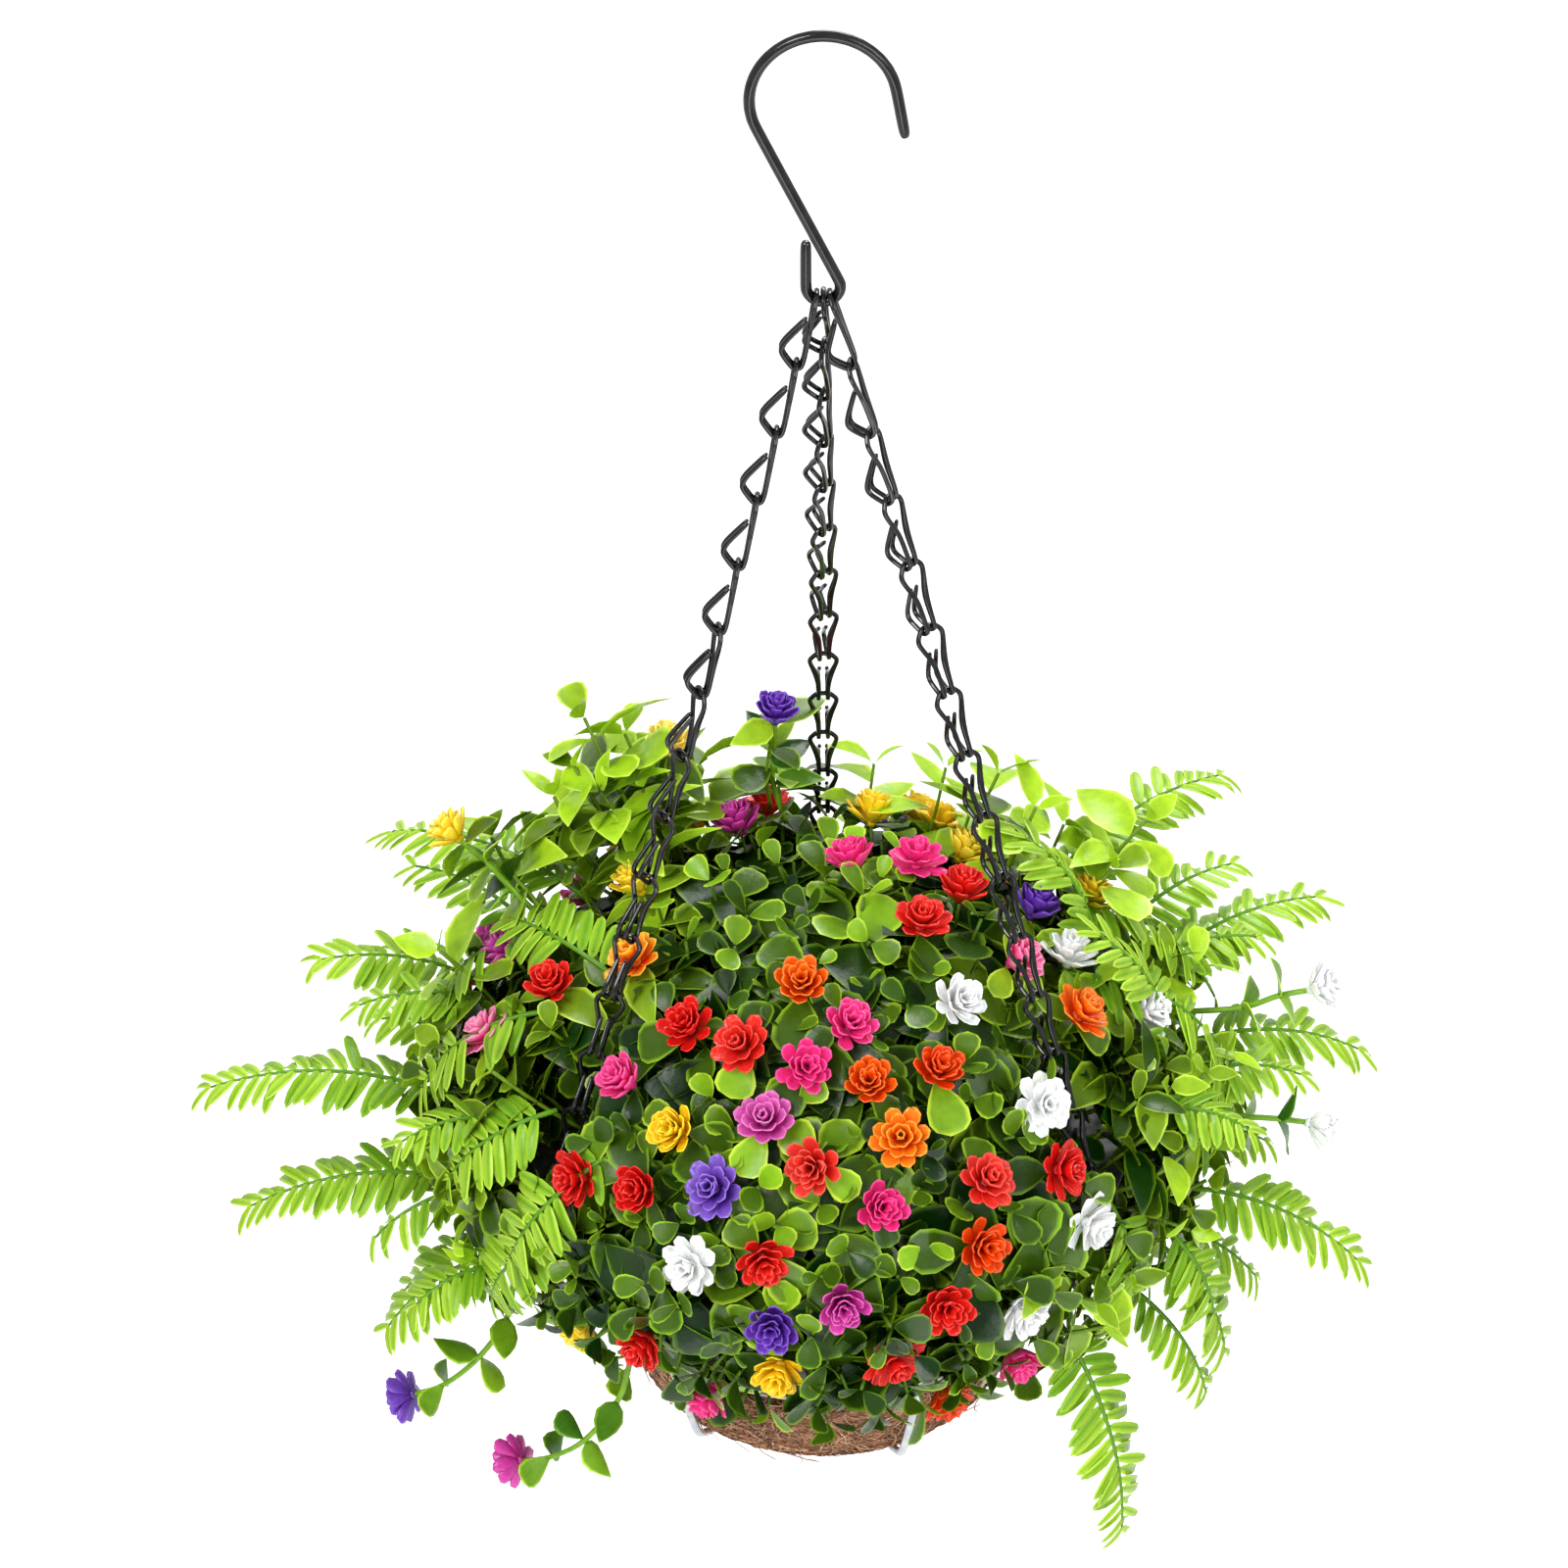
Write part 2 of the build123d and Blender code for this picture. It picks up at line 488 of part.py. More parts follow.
def make_crown_bush():
    """The bush in the middle, inside the ring of the others."""
    edge = mound_point(CROWN_ANGLE)[0] - BUSH_SLIT
    middle_room = mound_block(edge, edge, RIM_Z + BUSH_UNDERSIDE, MOUND_Z + 2 * MOUND_HEIGHT)
    return (make_mound(MOUND_RADIUS) & middle_room) + make_pick("crown_bush")


def make_blossom():
    """A blossom's outer form, a cup that opens upwards from a small foot."""
    return faceted_block(BLOSSOM_SIDES, BLOSSOM_FOOT, BLOSSOM_RADIUS, 0, BLOSSOM_HEIGHT)


def make_blossoms(colour):
    """All blossoms of one colour, each seated on the mound."""
    blossom = make_blossom()
    seats = [seat_plane(turn, angle).offset(SOFT_GAP) for turn, angle in PLANTING_ANGLES[colour]]
    return solid_group([plane.location * blossom for plane in seats], "blossoms_" + colour)


def sprig_points(name):
    """The bends of a sprig's stem, from just outside the mound to its tip."""
    turn, angle, bends = SPRIGS[name]
    seat = seat_plane(turn, angle)
    foot = seat.origin + seat.z_dir * (SOFT_GAP + SPRIG_STEM / 4)
    root = seat.origin + seat.z_dir * SPRIG_STEM * 4
    return [foot, root] + [seat.origin + Vector(*bend) for bend in bends]


def make_sprig(name):
    """A thin stem with pairs of small leaves at its inner bends."""
    points = sprig_points(name)
    sprig = bent_wire([tuple(point) for point in points], SPRIG_STEM, WIRE_SIDES)
    long, wide = SPRIG_LEAF
    pair = [(0, -long), (wide, -long / 2), (SPRIG_STEM, 0), (wide, long / 2), (0, long),
            (-wide * 0.7, long / 2), (-SPRIG_STEM, 0), (-wide * 0.7, -long / 2)]
    leaves = extrude(make_face(Polyline(*pair, close=True)), amount=FROND_THICKNESS / 2, both=True)
    for before, point, after in zip(points[1:], points[2:], points[3:]):
        along = (after - before).normalized()
        level = Vector(0, 0, 1).cross(along).normalized()
        sprig += Plane(origin=point, x_dir=along, z_dir=along.cross(level)).location * leaves
    return sprig


def make_sprig_blossom(name):
    """The blossom at a sprig's tip, opening away from the stem."""
    last, tip = sprig_points(name)[-2:]
    along = (tip - last).normalized()
    return Plane(origin=tip + along * SOFT_GAP, z_dir=along).location * make_blossom()


def frond_plane(turn, angle, tip):
    """The frame of a frond: +X from its foot to its tip, +Y level."""
    seat = seat_plane(turn, angle)
    slant = sin(radians(seat.z_dir.get_angle(tip - seat.origin)))
    foot = seat.origin + seat.z_dir * (SOFT_GAP + FROND_THICKNESS * slant)
    chord = tip - foot
    level = Vector(0, 0, 1).cross(chord).normalized()
    return Plane(origin=foot, x_dir=chord, z_dir=chord.cross(level)), chord.length


def make_frond(turn, angle, tip_reach, tip_height, tip_turn):
    """A thin arched leaf with a narrow foot, widest before its middle and pointed at its tip."""
    tip = around(tip_turn, MOUND_RADIUS + tip_reach, RIM_Z + tip_height)
    plane, length = frond_plane(turn, angle, tip)
    half = FROND_WIDTH / 2
    stem = SPRIG_STEM / 2
    outline = [(0, stem), (length * 0.12, stem), (length * 0.3, half * 0.85), (length * 0.5, half),
               (length * 0.8, half * 0.6), (length, stem)]
    outline += [(x, -y) for x, y in reversed(outline)]
    blank = extrude(make_face(Polyline(*outline, close=True)), amount=2 * length, both=True)
    upper = [(length * step / 4, FROND_ARCH_SHARE * length * step * (4 - step) / 4) for step in range(5)]
    lower = [(x, z - FROND_THICKNESS) for x, z in reversed(upper)]
    side = make_face(Plane.XZ * Polyline(*upper, *lower, close=True))
    return plane.location * (blank & extrude(side, amount=FROND_WIDTH, both=True))


def make_short_frond(turn, angle, tip_reach, tip_height, tip_turn):
    """A small flat leaf with a narrow foot and a pointed tip."""
    tip = around(tip_turn, MOUND_RADIUS + tip_reach, RIM_Z + tip_height)
    plane, length = frond_plane(turn, angle, tip)
    half = SHORT_FROND_WIDTH / 2
    stem = SPRIG_STEM / 2
    outline = [(0, stem), (length * 0.2, stem), (length * 0.5, half), (length * 0.8, half * 0.6), (length, stem)]
    outline += [(x, -y) for x, y in reversed(outline)]
    return plane.location * extrude(make_face(Polyline(*outline, close=True)), amount=-FROND_THICKNESS)


PARTS = {
    "hook": make_hook(),
    "rim_ring": ring(RIM_RADIUS, RIM_WIRE, RIM_Z),
    "belt_ring": make_belt_ring(),
    "foot_ring": ring(FOOT_RADIUS, RIB_WIRE, FOOT_Z, sides=4),
    "coir_liner": make_coir_liner(),
    "inner_pot": make_inner_pot(),
    "foam_block": make_foam_block(),
    "crown_bush": make_crown_bush(),
}
for chain_name in CHAIN_TURNS:
    PARTS["chain_" + chain_name] = make_chain(chain_name)
    PARTS["rim_hook_" + chain_name] = make_rim_hook(chain_name)
for rib_number in range(RIBS):
    PARTS["rib_%d" % (rib_number + 1)] = make_rib(rib_number)
PARTS.update(make_side_bushes())
for colour_name in PLANTING_ANGLES:
    PARTS["blossoms_" + colour_name] = make_blossoms(colour_name)
for sprig_name in SPRIGS:
    PARTS[sprig_name] = make_sprig(sprig_name)
    PARTS[sprig_name + "_blossom"] = make_sprig_blossom(sprig_name)
for frond_name, frond_sizes in FRONDS.items():
    PARTS[frond_name] = make_frond(*frond_sizes)
for side_name, short_fronds in SHORT_FRONDS.items():
    PARTS["short_fronds_" + side_name] = solid_group([make_short_frond(*f) for f in short_fronds], "short_fronds")

os.makedirs("parts", exist_ok=True)
for part_name, shape in PARTS.items():
    export_step(shape, "parts/" + part_name + ".step")
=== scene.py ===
import json
import logging
import math
import random
from dataclasses import dataclass, field
from enum import Enum

import bpy
from mathutils import Matrix, Vector, noise


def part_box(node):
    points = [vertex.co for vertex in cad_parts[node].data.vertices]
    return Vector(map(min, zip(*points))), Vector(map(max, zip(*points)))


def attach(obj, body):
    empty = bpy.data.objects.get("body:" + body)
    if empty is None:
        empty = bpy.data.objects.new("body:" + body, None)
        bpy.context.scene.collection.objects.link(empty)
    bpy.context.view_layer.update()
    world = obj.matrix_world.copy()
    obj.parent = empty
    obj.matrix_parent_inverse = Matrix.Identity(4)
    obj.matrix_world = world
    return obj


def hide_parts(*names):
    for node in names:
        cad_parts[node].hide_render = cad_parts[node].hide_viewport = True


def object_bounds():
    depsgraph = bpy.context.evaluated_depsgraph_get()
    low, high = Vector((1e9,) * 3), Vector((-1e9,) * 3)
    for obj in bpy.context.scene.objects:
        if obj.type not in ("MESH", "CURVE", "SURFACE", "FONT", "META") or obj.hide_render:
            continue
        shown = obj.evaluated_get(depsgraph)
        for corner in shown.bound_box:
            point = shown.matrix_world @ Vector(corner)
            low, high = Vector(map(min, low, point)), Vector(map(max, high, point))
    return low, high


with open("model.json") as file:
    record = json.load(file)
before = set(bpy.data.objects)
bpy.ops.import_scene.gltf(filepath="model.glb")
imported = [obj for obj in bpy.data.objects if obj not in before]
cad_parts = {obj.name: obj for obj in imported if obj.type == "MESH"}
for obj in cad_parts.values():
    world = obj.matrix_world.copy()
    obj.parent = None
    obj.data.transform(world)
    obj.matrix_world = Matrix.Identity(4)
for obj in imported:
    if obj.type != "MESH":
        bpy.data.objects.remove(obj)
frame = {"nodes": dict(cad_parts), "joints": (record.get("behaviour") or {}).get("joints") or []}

CAD_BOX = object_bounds()
MM = 0.001
LOG = logging.getLogger("hanging_basket")

Colour = tuple[float, float, float]
Row = tuple[float, float, float, float, float]


# ---------------------------------------------------------------- shader helpers
class Shader:
    """A material's node tree, with short ways to add the nodes that the finishes share."""

    def __init__(self, name: str) -> None:
        """Start an empty material with a principled shader.

        Args:
            name: The material's name.
        """
        self.material = bpy.data.materials.new(name)
        self.material.use_nodes = True
        self.nodes = self.material.node_tree.nodes
        self.links = self.material.node_tree.links
        self.principled = self.nodes["Principled BSDF"]

    def set(self, **sockets: float | Colour) -> None:
        """Set constants on the principled shader's own sockets.

        Args:
            sockets: Socket names with underscores for spaces, and their values.
        """
        for name, value in sockets.items():
            socket = self.principled.inputs[name.replace("_", " ")]
            socket.default_value = (*value, 1.0) if isinstance(value, tuple) and len(value) == 3 else value

    def attribute(self, name: str) -> bpy.types.NodeSocket:
        """The value that each vertex carries under this name.

        Args:
            name: The value's name: tone, rim or run.

        Returns:
            The value's socket.
        """
        node = self.nodes.new("ShaderNodeAttribute")
        node.attribute_name = name
        return node.outputs["Fac"]

    def noise(
        self, size: float, detail: float = 3.0, stretch: Colour = (1.0, 1.0, 1.0),
    ) -> bpy.types.NodeSocket:
        """Noise in object space.

        Args:
            size: Size of one patch in metres.
            detail: Number of finer layers.
            stretch: How many times longer the patches are along each axis.

        Returns:
            The noise value's socket.
        """
        place = self.nodes.new("ShaderNodeTexCoord")
        scale = self.nodes.new("ShaderNodeMapping")
        scale.inputs["Scale"].default_value = [1.0 / (size * long) for long in stretch]
        node = self.nodes.new("ShaderNodeTexNoise")
        node.inputs["Scale"].default_value = 1.0
        node.inputs["Detail"].default_value = detail
        self.links.new(place.outputs["Object"], scale.inputs["Vector"])
        self.links.new(scale.outputs["Vector"], node.inputs["Vector"])
        return node.outputs["Fac"]

    def ramp(self, value: bpy.types.NodeSocket, stops: list[tuple[float, Colour]]) -> bpy.types.NodeSocket:
        """Colours along a value.

        Args:
            value: The value to look up.
            stops: Positions and their colours.

        Returns:
            The colour's socket.
        """
        node = self.nodes.new("ShaderNodeValToRGB")
        elements = node.color_ramp.elements
        while len(elements) < len(stops):
            elements.new(0.5)
        for element, (place, colour) in zip(elements, stops):
            element.position = place
            element.color = (*colour, 1.0)
        self.links.new(value, node.inputs["Fac"])
        return node.outputs["Color"]

    def mix(
        self, share: bpy.types.NodeSocket | float, first: bpy.types.NodeSocket, second: bpy.types.NodeSocket,
        how: str = "MIX",
    ) -> bpy.types.NodeSocket:
        """Mix two colours.

        Args:
            share: How much of the second colour.
            first: The first colour.
            second: The second colour.
            how: The blend type.

        Returns:
            The mixed colour's socket.
        """
        node = self.nodes.new("ShaderNodeMixRGB")
        node.blend_type = how
        if isinstance(share, float):
            node.inputs["Fac"].default_value = share
        else:
            self.links.new(share, node.inputs["Fac"])
        self.links.new(first, node.inputs["Color1"])
        self.links.new(second, node.inputs["Color2"])
        return node.outputs["Color"]

    def remap(
        self, value: bpy.types.NodeSocket, low: float, high: float, to_low: float, to_high: float,
    ) -> bpy.types.NodeSocket:
        """Stretch a value from one range to another.

        Args:
            value: The value.
            low: Where its range starts.
            high: Where its range ends.
            to_low: What the start becomes.
            to_high: What the end becomes.

        Returns:
            The new value's socket.
        """
        node = self.nodes.new("ShaderNodeMapRange")
        for name, number in (("From Min", low), ("From Max", high), ("To Min", to_low), ("To Max", to_high)):
            node.inputs[name].default_value = number
        self.links.new(value, node.inputs["Value"])
        return node.outputs["Result"]

    def colour(self, socket: bpy.types.NodeSocket) -> None:
        """Use this colour as the base colour."""
        self.links.new(socket, self.principled.inputs["Base Color"])

    def roughness(self, socket: bpy.types.NodeSocket) -> None:
        """Use this value as the roughness."""
        self.links.new(socket, self.principled.inputs["Roughness"])

    def bump(self, height: bpy.types.NodeSocket, depth: float) -> None:
        """Raise the surface by a height map.

        Args:
            height: The height, from 0 to 1.
            depth: The full height in metres.
        """
        node = self.nodes.new("ShaderNodeBump")
        node.inputs["Strength"].default_value = 1.0
        node.inputs["Distance"].default_value = depth
        self.links.new(height, node.inputs["Height"])
        self.links.new(node.outputs["Normal"], self.principled.inputs["Normal"])


# ---------------------------------------------------------------- finishes
@dataclass(frozen=True)
class CoatedWire:
    """Black gloss coating on wire, with faint dips and a few duller patches."""

    base: Colour = (0.003, 0.003, 0.0033)
    worn: Colour = (0.012, 0.012, 0.013)
    grain: float = 4.0 * MM
    dip: float = 0.05 * MM

    def material(self) -> bpy.types.Material:
        """Build the material."""
        shader = Shader("coated_wire")
        patches = shader.noise(self.grain)
        shader.colour(shader.ramp(patches, [(0.4, self.base), (0.75, self.worn)]))
        shader.roughness(shader.remap(patches, 0.3, 0.7, 0.07, 0.17))
        shader.bump(shader.noise(self.grain / 3), self.dip)
        shader.set(Specular_IOR_Level=0.5)
        return shader.material


@dataclass(frozen=True)
class GalvanisedWire:
    """Zinc-coated wire with cloudy patches."""

    bright: Colour = (0.62, 0.63, 0.65)
    dull: Colour = (0.36, 0.37, 0.39)
    cloud: float = 5.0 * MM
    dip: float = 0.08 * MM

    def material(self) -> bpy.types.Material:
        """Build the material."""
        shader = Shader("galvanised_wire")
        clouds = shader.noise(self.cloud, 4.0)
        shader.colour(shader.ramp(clouds, [(0.3, self.dull), (0.65, self.bright)]))
        shader.roughness(shader.remap(clouds, 0.3, 0.7, 0.42, 0.26))
        shader.bump(shader.noise(self.cloud / 5), self.dip)
        shader.set(Metallic=0.75)
        return shader.material


@dataclass(frozen=True)
class PotPlastic:
    """Thin black moulded plastic with a satin grain."""

    base: Colour = (0.008, 0.009, 0.009)
    dusty: Colour = (0.025, 0.026, 0.025)
    grain: float = 1.2 * MM

    def material(self) -> bpy.types.Material:
        """Build the material."""
        shader = Shader("pot_plastic")
        shader.colour(shader.ramp(shader.noise(20 * MM, 5.0), [(0.4, self.base), (0.8, self.dusty)]))
        shader.roughness(shader.remap(shader.noise(8 * MM), 0.3, 0.7, 0.35, 0.55))
        shader.bump(shader.noise(self.grain), 0.04 * MM)
        shader.set(Specular_IOR_Level=0.12)
        return shader.material


@dataclass(frozen=True)
class Foam:
    """Dry green flower foam with open pores."""

    base: Colour = (0.05, 0.11, 0.04)
    pore: Colour = (0.02, 0.05, 0.02)
    pore_size: float = 1.0 * MM

    def material(self) -> bpy.types.Material:
        """Build the material."""
        shader = Shader("foam")
        pores = shader.noise(self.pore_size, 5.0)
        shader.colour(shader.ramp(pores, [(0.35, self.pore), (0.6, self.base)]))
        shader.bump(pores, 0.4 * MM)
        shader.set(Roughness=0.95)
        return shader.material


@dataclass(frozen=True)
class Coir:
    """Coconut fibre: each strand has its own brown, from nearly black to straw."""

    name: str
    dark: Colour = (0.1, 0.04, 0.018)
    middle: Colour = (0.5, 0.22, 0.1)
    straw: Colour = (0.95, 0.64, 0.38)

    def material(self) -> bpy.types.Material:
        """Build the material."""
        shader = Shader(self.name)
        strands = shader.ramp(
            shader.attribute("tone"), [(0.0, self.dark), (0.45, self.middle), (1.0, self.straw)]
        )
        mottle = shader.ramp(shader.noise(1.5 * MM, 4.0), [(0.3, (0.35, 0.3, 0.28)), (0.7, (1.0, 1.0, 1.0))])
        shader.colour(shader.mix(1.0, strands, mottle, "MULTIPLY"))
        shader.bump(shader.noise(0.6 * MM, 4.0, (1.0, 1.0, 2.0)), 0.3 * MM)
        shader.set(Roughness=0.8)
        return shader.material


@dataclass(frozen=True)
class Leaf:
    """Moulded leaf: a deep middle that turns to a pale thin rim, glossy, with a soft mottle."""

    name: str
    deep: Colour
    fresh: Colour
    rim: Colour
    rim_start: float = 0.15
    roughness: float = 0.2
    sheen: float = 0.24

    def material(self) -> bpy.types.Material:
        """Build the material."""
        shader = Shader(self.name)
        shade = tuple(0.72 * deep + 0.28 * fresh for deep, fresh in zip(self.deep, self.fresh))
        # The tone picks the body between deep and fresh. On the bushes' leaves it is partly their own random
        # tone and partly painted light and shade, so there deep stands for painted shade.
        body = shader.ramp(shader.attribute("tone"), [(0.0, self.deep), (0.45, shade), (1.0, self.fresh)])
        mottle = shader.ramp(shader.noise(5 * MM), [(0.3, (0.72, 0.78, 0.7)), (0.7, (1.0, 1.0, 1.0))])
        body = shader.mix(1.0, body, mottle, "MULTIPLY")
        # The rim colour is dimmed by the same tone, so it carries the same painted shade.
        edge = shader.ramp(shader.attribute("tone"), [(0.0, shade), (0.3, self.fresh), (0.75, self.rim)])
        share = shader.remap(shader.attribute("rim"), self.rim_start, 1.0, 0.0, 1.0)
        shader.colour(shader.mix(share, body, edge))
        shader.roughness(shader.remap(shader.noise(7 * MM), 0.3, 0.7, self.roughness, self.roughness + 0.16))
        shader.bump(shader.noise(2.2 * MM, 2.0), 0.12 * MM)
        shader.set(Specular_IOR_Level=self.sheen)
        return shader.material


@dataclass(frozen=True)
class Petal:
    """Soft moulded petal: one colour at the foot, another towards the rim, with fine streaks.

    The rim goes from the first rim colour to the blend as the blossom's own shade grows.
    """

    name: str
    heart: Colour
    middle: Colour
    rim: Colour
    blend: Colour
    rim_start: float = 0.5

    def material(self) -> bpy.types.Material:
        """Build the material."""
        shader = Shader(self.name)
        along = shader.ramp(
            shader.attribute("run"), [(0.0, self.heart), (0.45, self.middle), (1.0, self.middle)]
        )
        edge = shader.ramp(
            shader.attribute("tone"), [(0.0, self.middle), (0.75, self.rim), (1.0, self.blend)]
        )
        colour = shader.mix(shader.remap(shader.attribute("run"), 0.4, 1.0, 0.0, 0.9), along, edge)
        share = shader.remap(shader.attribute("rim"), self.rim_start, 1.0, 0.0, 0.4)
        colour = shader.mix(share, colour, edge)
        streaks = shader.ramp(
            shader.noise(1.6 * MM, 3.0, (1.0, 1.0, 2.5)), [(0.3, (0.82, 0.82, 0.82)), (0.65, (1.0, 1.0, 1.0))]
        )
        shader.colour(shader.mix(1.0, colour, streaks, "MULTIPLY"))
        shader.roughness(shader.remap(shader.noise(4 * MM), 0.3, 0.7, 0.24, 0.4))
        shader.bump(shader.noise(1.8 * MM, 2.0), 0.1 * MM)
        shader.set(Subsurface_Weight=0.12, Subsurface_Scale=2 * MM)
        return shader.material


# ---------------------------------------------------------------- mesh helpers
def shade_smooth(mesh: bpy.types.Mesh) -> None:
    """Shade every face smooth."""
    mesh.polygons.foreach_set("use_smooth", [True] * len(mesh.polygons))


def dress(node: str, material: bpy.types.Material) -> None:
    """Give a CAD node its finish.

    Args:
        node: The node's name.
        material: The finish.
    """
    mesh = frame["nodes"][node].data
    if not mesh.materials:
        mesh.materials.append(material)
    for index in range(len(mesh.materials)):
        mesh.materials[index] = material
    LOG.info("%s dressed", node)


class MeshBuffer:
    """Collects the vertices and faces of one piece, with the values that its finish reads."""

    def __init__(self) -> None:
        """Start empty."""
        self.points: list[Vector] = []
        self.faces: list[tuple[int, ...]] = []
        self.values: dict[str, list[float]] = {"rim": [], "run": [], "tone": []}

    def add_point(self, point: Vector, tone: float, rim: float = 0.0, run: float = 0.0) -> None:
        """Add one vertex.

        Args:
            point: Its place.
            tone: Its shade, from 0 to 1.
            rim: How pale it is, from 0 to 1.
            run: How far along the leaf, petal or stem it lies, from 0 to 1.
        """
        self.points.append(point)
        for key, value in (("rim", rim), ("run", run), ("tone", tone)):
            self.values[key].append(value)

    def add_grid(self, rows: list[list[Row]], place: Matrix, tone: float) -> None:
        """Add a sheet of quads.

        Args:
            rows: Rows of (x, y, z, rim, run).
            place: Where the sheet goes.
            tone: The sheet's shade, from 0 to 1: its own tone, and on the bushes' leaves partly painted light
                and shade.
        """
        first = len(self.points)
        across = len(rows[0])
        for row in rows:
            for x, y, z, rim, run in row:
                self.add_point(place @ Vector((x, y, z)), tone, rim, run)
        for i in range(len(rows) - 1):
            for j in range(across - 1):
                a = first + i * across + j
                self.faces.append((a, a + 1, a + across + 1, a + across))

    def close_rings(self, first: int, rings: int, around: int) -> None:
        """Join rings of vertices into a closed skin, with a cap at each end.

        Args:
            first: The number of the first ring's first vertex.
            rings: How many rings there are.
            around: How many vertices each ring has.
        """
        for ring in range(rings - 1):
            for step in range(around):
                a = first + ring * around + step
                b = first + ring * around + (step + 1) % around
                self.faces.append((a, b, b + around, a + around))
        last = first + (rings - 1) * around
        self.faces.append(tuple(first + step for step in reversed(range(around))))
        self.faces.append(tuple(last + step for step in range(around)))

    def add_tube(self, path: list[Vector], radii: list[float], sides: int, tone: float) -> None:
        """Add a closed tube along a path.

        Args:
            path: Points along its middle.
            radii: The radius at each point.
            sides: Facets round it.
            tone: Its own shade, from 0 to 1.
        """
        first = len(self.points)
        side = (path[1] - path[0]).orthogonal().normalized()
        for index, point in enumerate(path):
            ahead = path[min(index + 1, len(path) - 1)] - path[max(index - 1, 0)]
            ahead.normalize()
            side = (side - ahead * side.dot(ahead)).normalized()
            over = ahead.cross(side)
            for step in range(sides):
                angle = math.tau * step / sides
                corner = point + (side * math.cos(angle) + over * math.sin(angle)) * radii[index]
                self.add_point(corner, tone, run=index / (len(path) - 1))
        self.close_rings(first, len(path), sides)

    def build(
        self, name: str, material: bpy.types.Material, body: str, slot: str, thickness: float = 0.0,
    ) -> bpy.types.Object:
        """Make the object and let it ride on its body.

        Args:
            name: The piece's name.
            material: Its finish.
            body: The body it moves with.
            slot: Not used.
            thickness: Thickness given to its sheets, in metres.

        Returns:
            The new object.
        """
        mesh = bpy.data.meshes.new(name)
        mesh.from_pydata(self.points, [], self.faces)
        for key, values in self.values.items():
            layer = mesh.attributes.new(key, "FLOAT", "POINT")
            layer.data.foreach_set("value", values)
        shade_smooth(mesh)
        mesh.materials.append(material)
        piece = bpy.data.objects.new(name, mesh)
        bpy.context.scene.collection.objects.link(piece)
        if thickness:
            solid = piece.modifiers.new("thickness", "SOLIDIFY")
            solid.thickness = thickness
            solid.offset = 0.0
            solid.use_even_offset = False
        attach(piece, body)
        LOG.info("%s: %d faces", name, len(self.faces))
        return piece


def frame_at(origin: Vector, ahead: Vector, up: Vector) -> Matrix:
    """A placing matrix with +X ahead and +Z as near to up as it can be.

    Args:
        origin: Where it places the origin.
        ahead: Where +X goes.
        up: The side that +Z keeps to.

    Returns:
        The matrix.
    """
    x = ahead.normalized()
    y = up.cross(x)
    if y.length < 1e-6:
        y = x.orthogonal()
    y.normalize()
    z = x.cross(y)
    return Matrix((*zip(x, y, z, origin), (0, 0, 0, 1)))


def curve_through(points: list[Vector], steps: int) -> list[Vector]:
    """Points on a smooth line through the given ones.

    Args:
        points: The points to pass through.
        steps: How many parts each stretch is divided into.

    Returns:
        The points of the smooth line.
    """
    ends = [points[0] * 2 - points[1], *points, points[-1] * 2 - points[-2]]
    line = []
    for a, b, c, d in zip(ends, ends[1:], ends[2:], ends[3:]):
        for step in range(steps):
            t = step / steps
            line.append(0.5 * (2 * b + (c - a) * t + (2 * a - 5 * b + 4 * c - d) * t**2
                               + (3 * b - a - 3 * c + d) * t**3))
    line.append(points[-1].copy())
    return line


class Outline(Enum):
    """The outlines that leaves and petals come in."""

    ROUND = "round"
    POINTED = "pointed"
    STRAP = "strap"

    def half_width(self, v: float) -> float:
        """Half the width, as a share of the widest half.

        Args:
            v: The share of the length, from the foot.

        Returns:
            The share of the widest half.
        """
        if self is Outline.ROUND:
            return 1.66 * v**0.8 * math.sqrt(max(1.0 - v**3, 0.0))
        if self is Outline.POINTED:
            return math.sin(math.pi * v**0.72) ** 0.9 if 0.0 < v < 1.0 else 0.0
        return min(1.0, 6.0 * v) * math.sqrt(max(1.0 - v**6, 0.0))


@dataclass(frozen=True)
class Blade:
    """One leaf, leaflet or petal as a curved sheet that starts at its foot and runs along +X."""

    outline: Outline
    length: float
    width: float
    fold: float = 0.15
    curl: float = 0.5
    cup: float = 0.0
    rows: tuple[float, ...] = (0.0, 0.12, 0.34, 0.58, 0.8, 0.93, 1.0)
    columns: tuple[float, ...] = (-1.0, -0.72, 0.0, 0.72, 1.0)
    least_half: float = 0.05
    end_rim: float = 0.3

    def grid(self) -> list[list[Row]]:
        """The sheet's rows of (x, y, z, rim, run)."""
        rows = []
        x = z = last = 0.0
        for v in self.rows:
            bend = self.curl * v
            x += (v - last) * self.length * math.cos(bend)
            z -= (v - last) * self.length * math.sin(bend)
            last = v
            half = max(self.outline.half_width(v), self.least_half) * self.width / 2
            row = []
            for u in self.columns:
                lift = self.fold * abs(u) * half + self.cup * u * u * half
                rim = 1.0 if abs(u) == 1.0 or v == 1.0 else 0.0
                if v > 0.9 and rim == 0.0:
                    rim = self.end_rim
                row.append((x, u * half, z + lift, rim, v))
            rows.append(row)
        return rows


# ---------------------------------------------------------------- places
def turned(turn: float, radius: float, height: float) -> Vector:
    """A point round the basket's middle line.

    Args:
        turn: The angle in radians.
        radius: How far out it lies.
        height: Its height.

    Returns:
        The point.
    """
    return Vector((radius * math.cos(turn), radius * math.sin(turn), height))


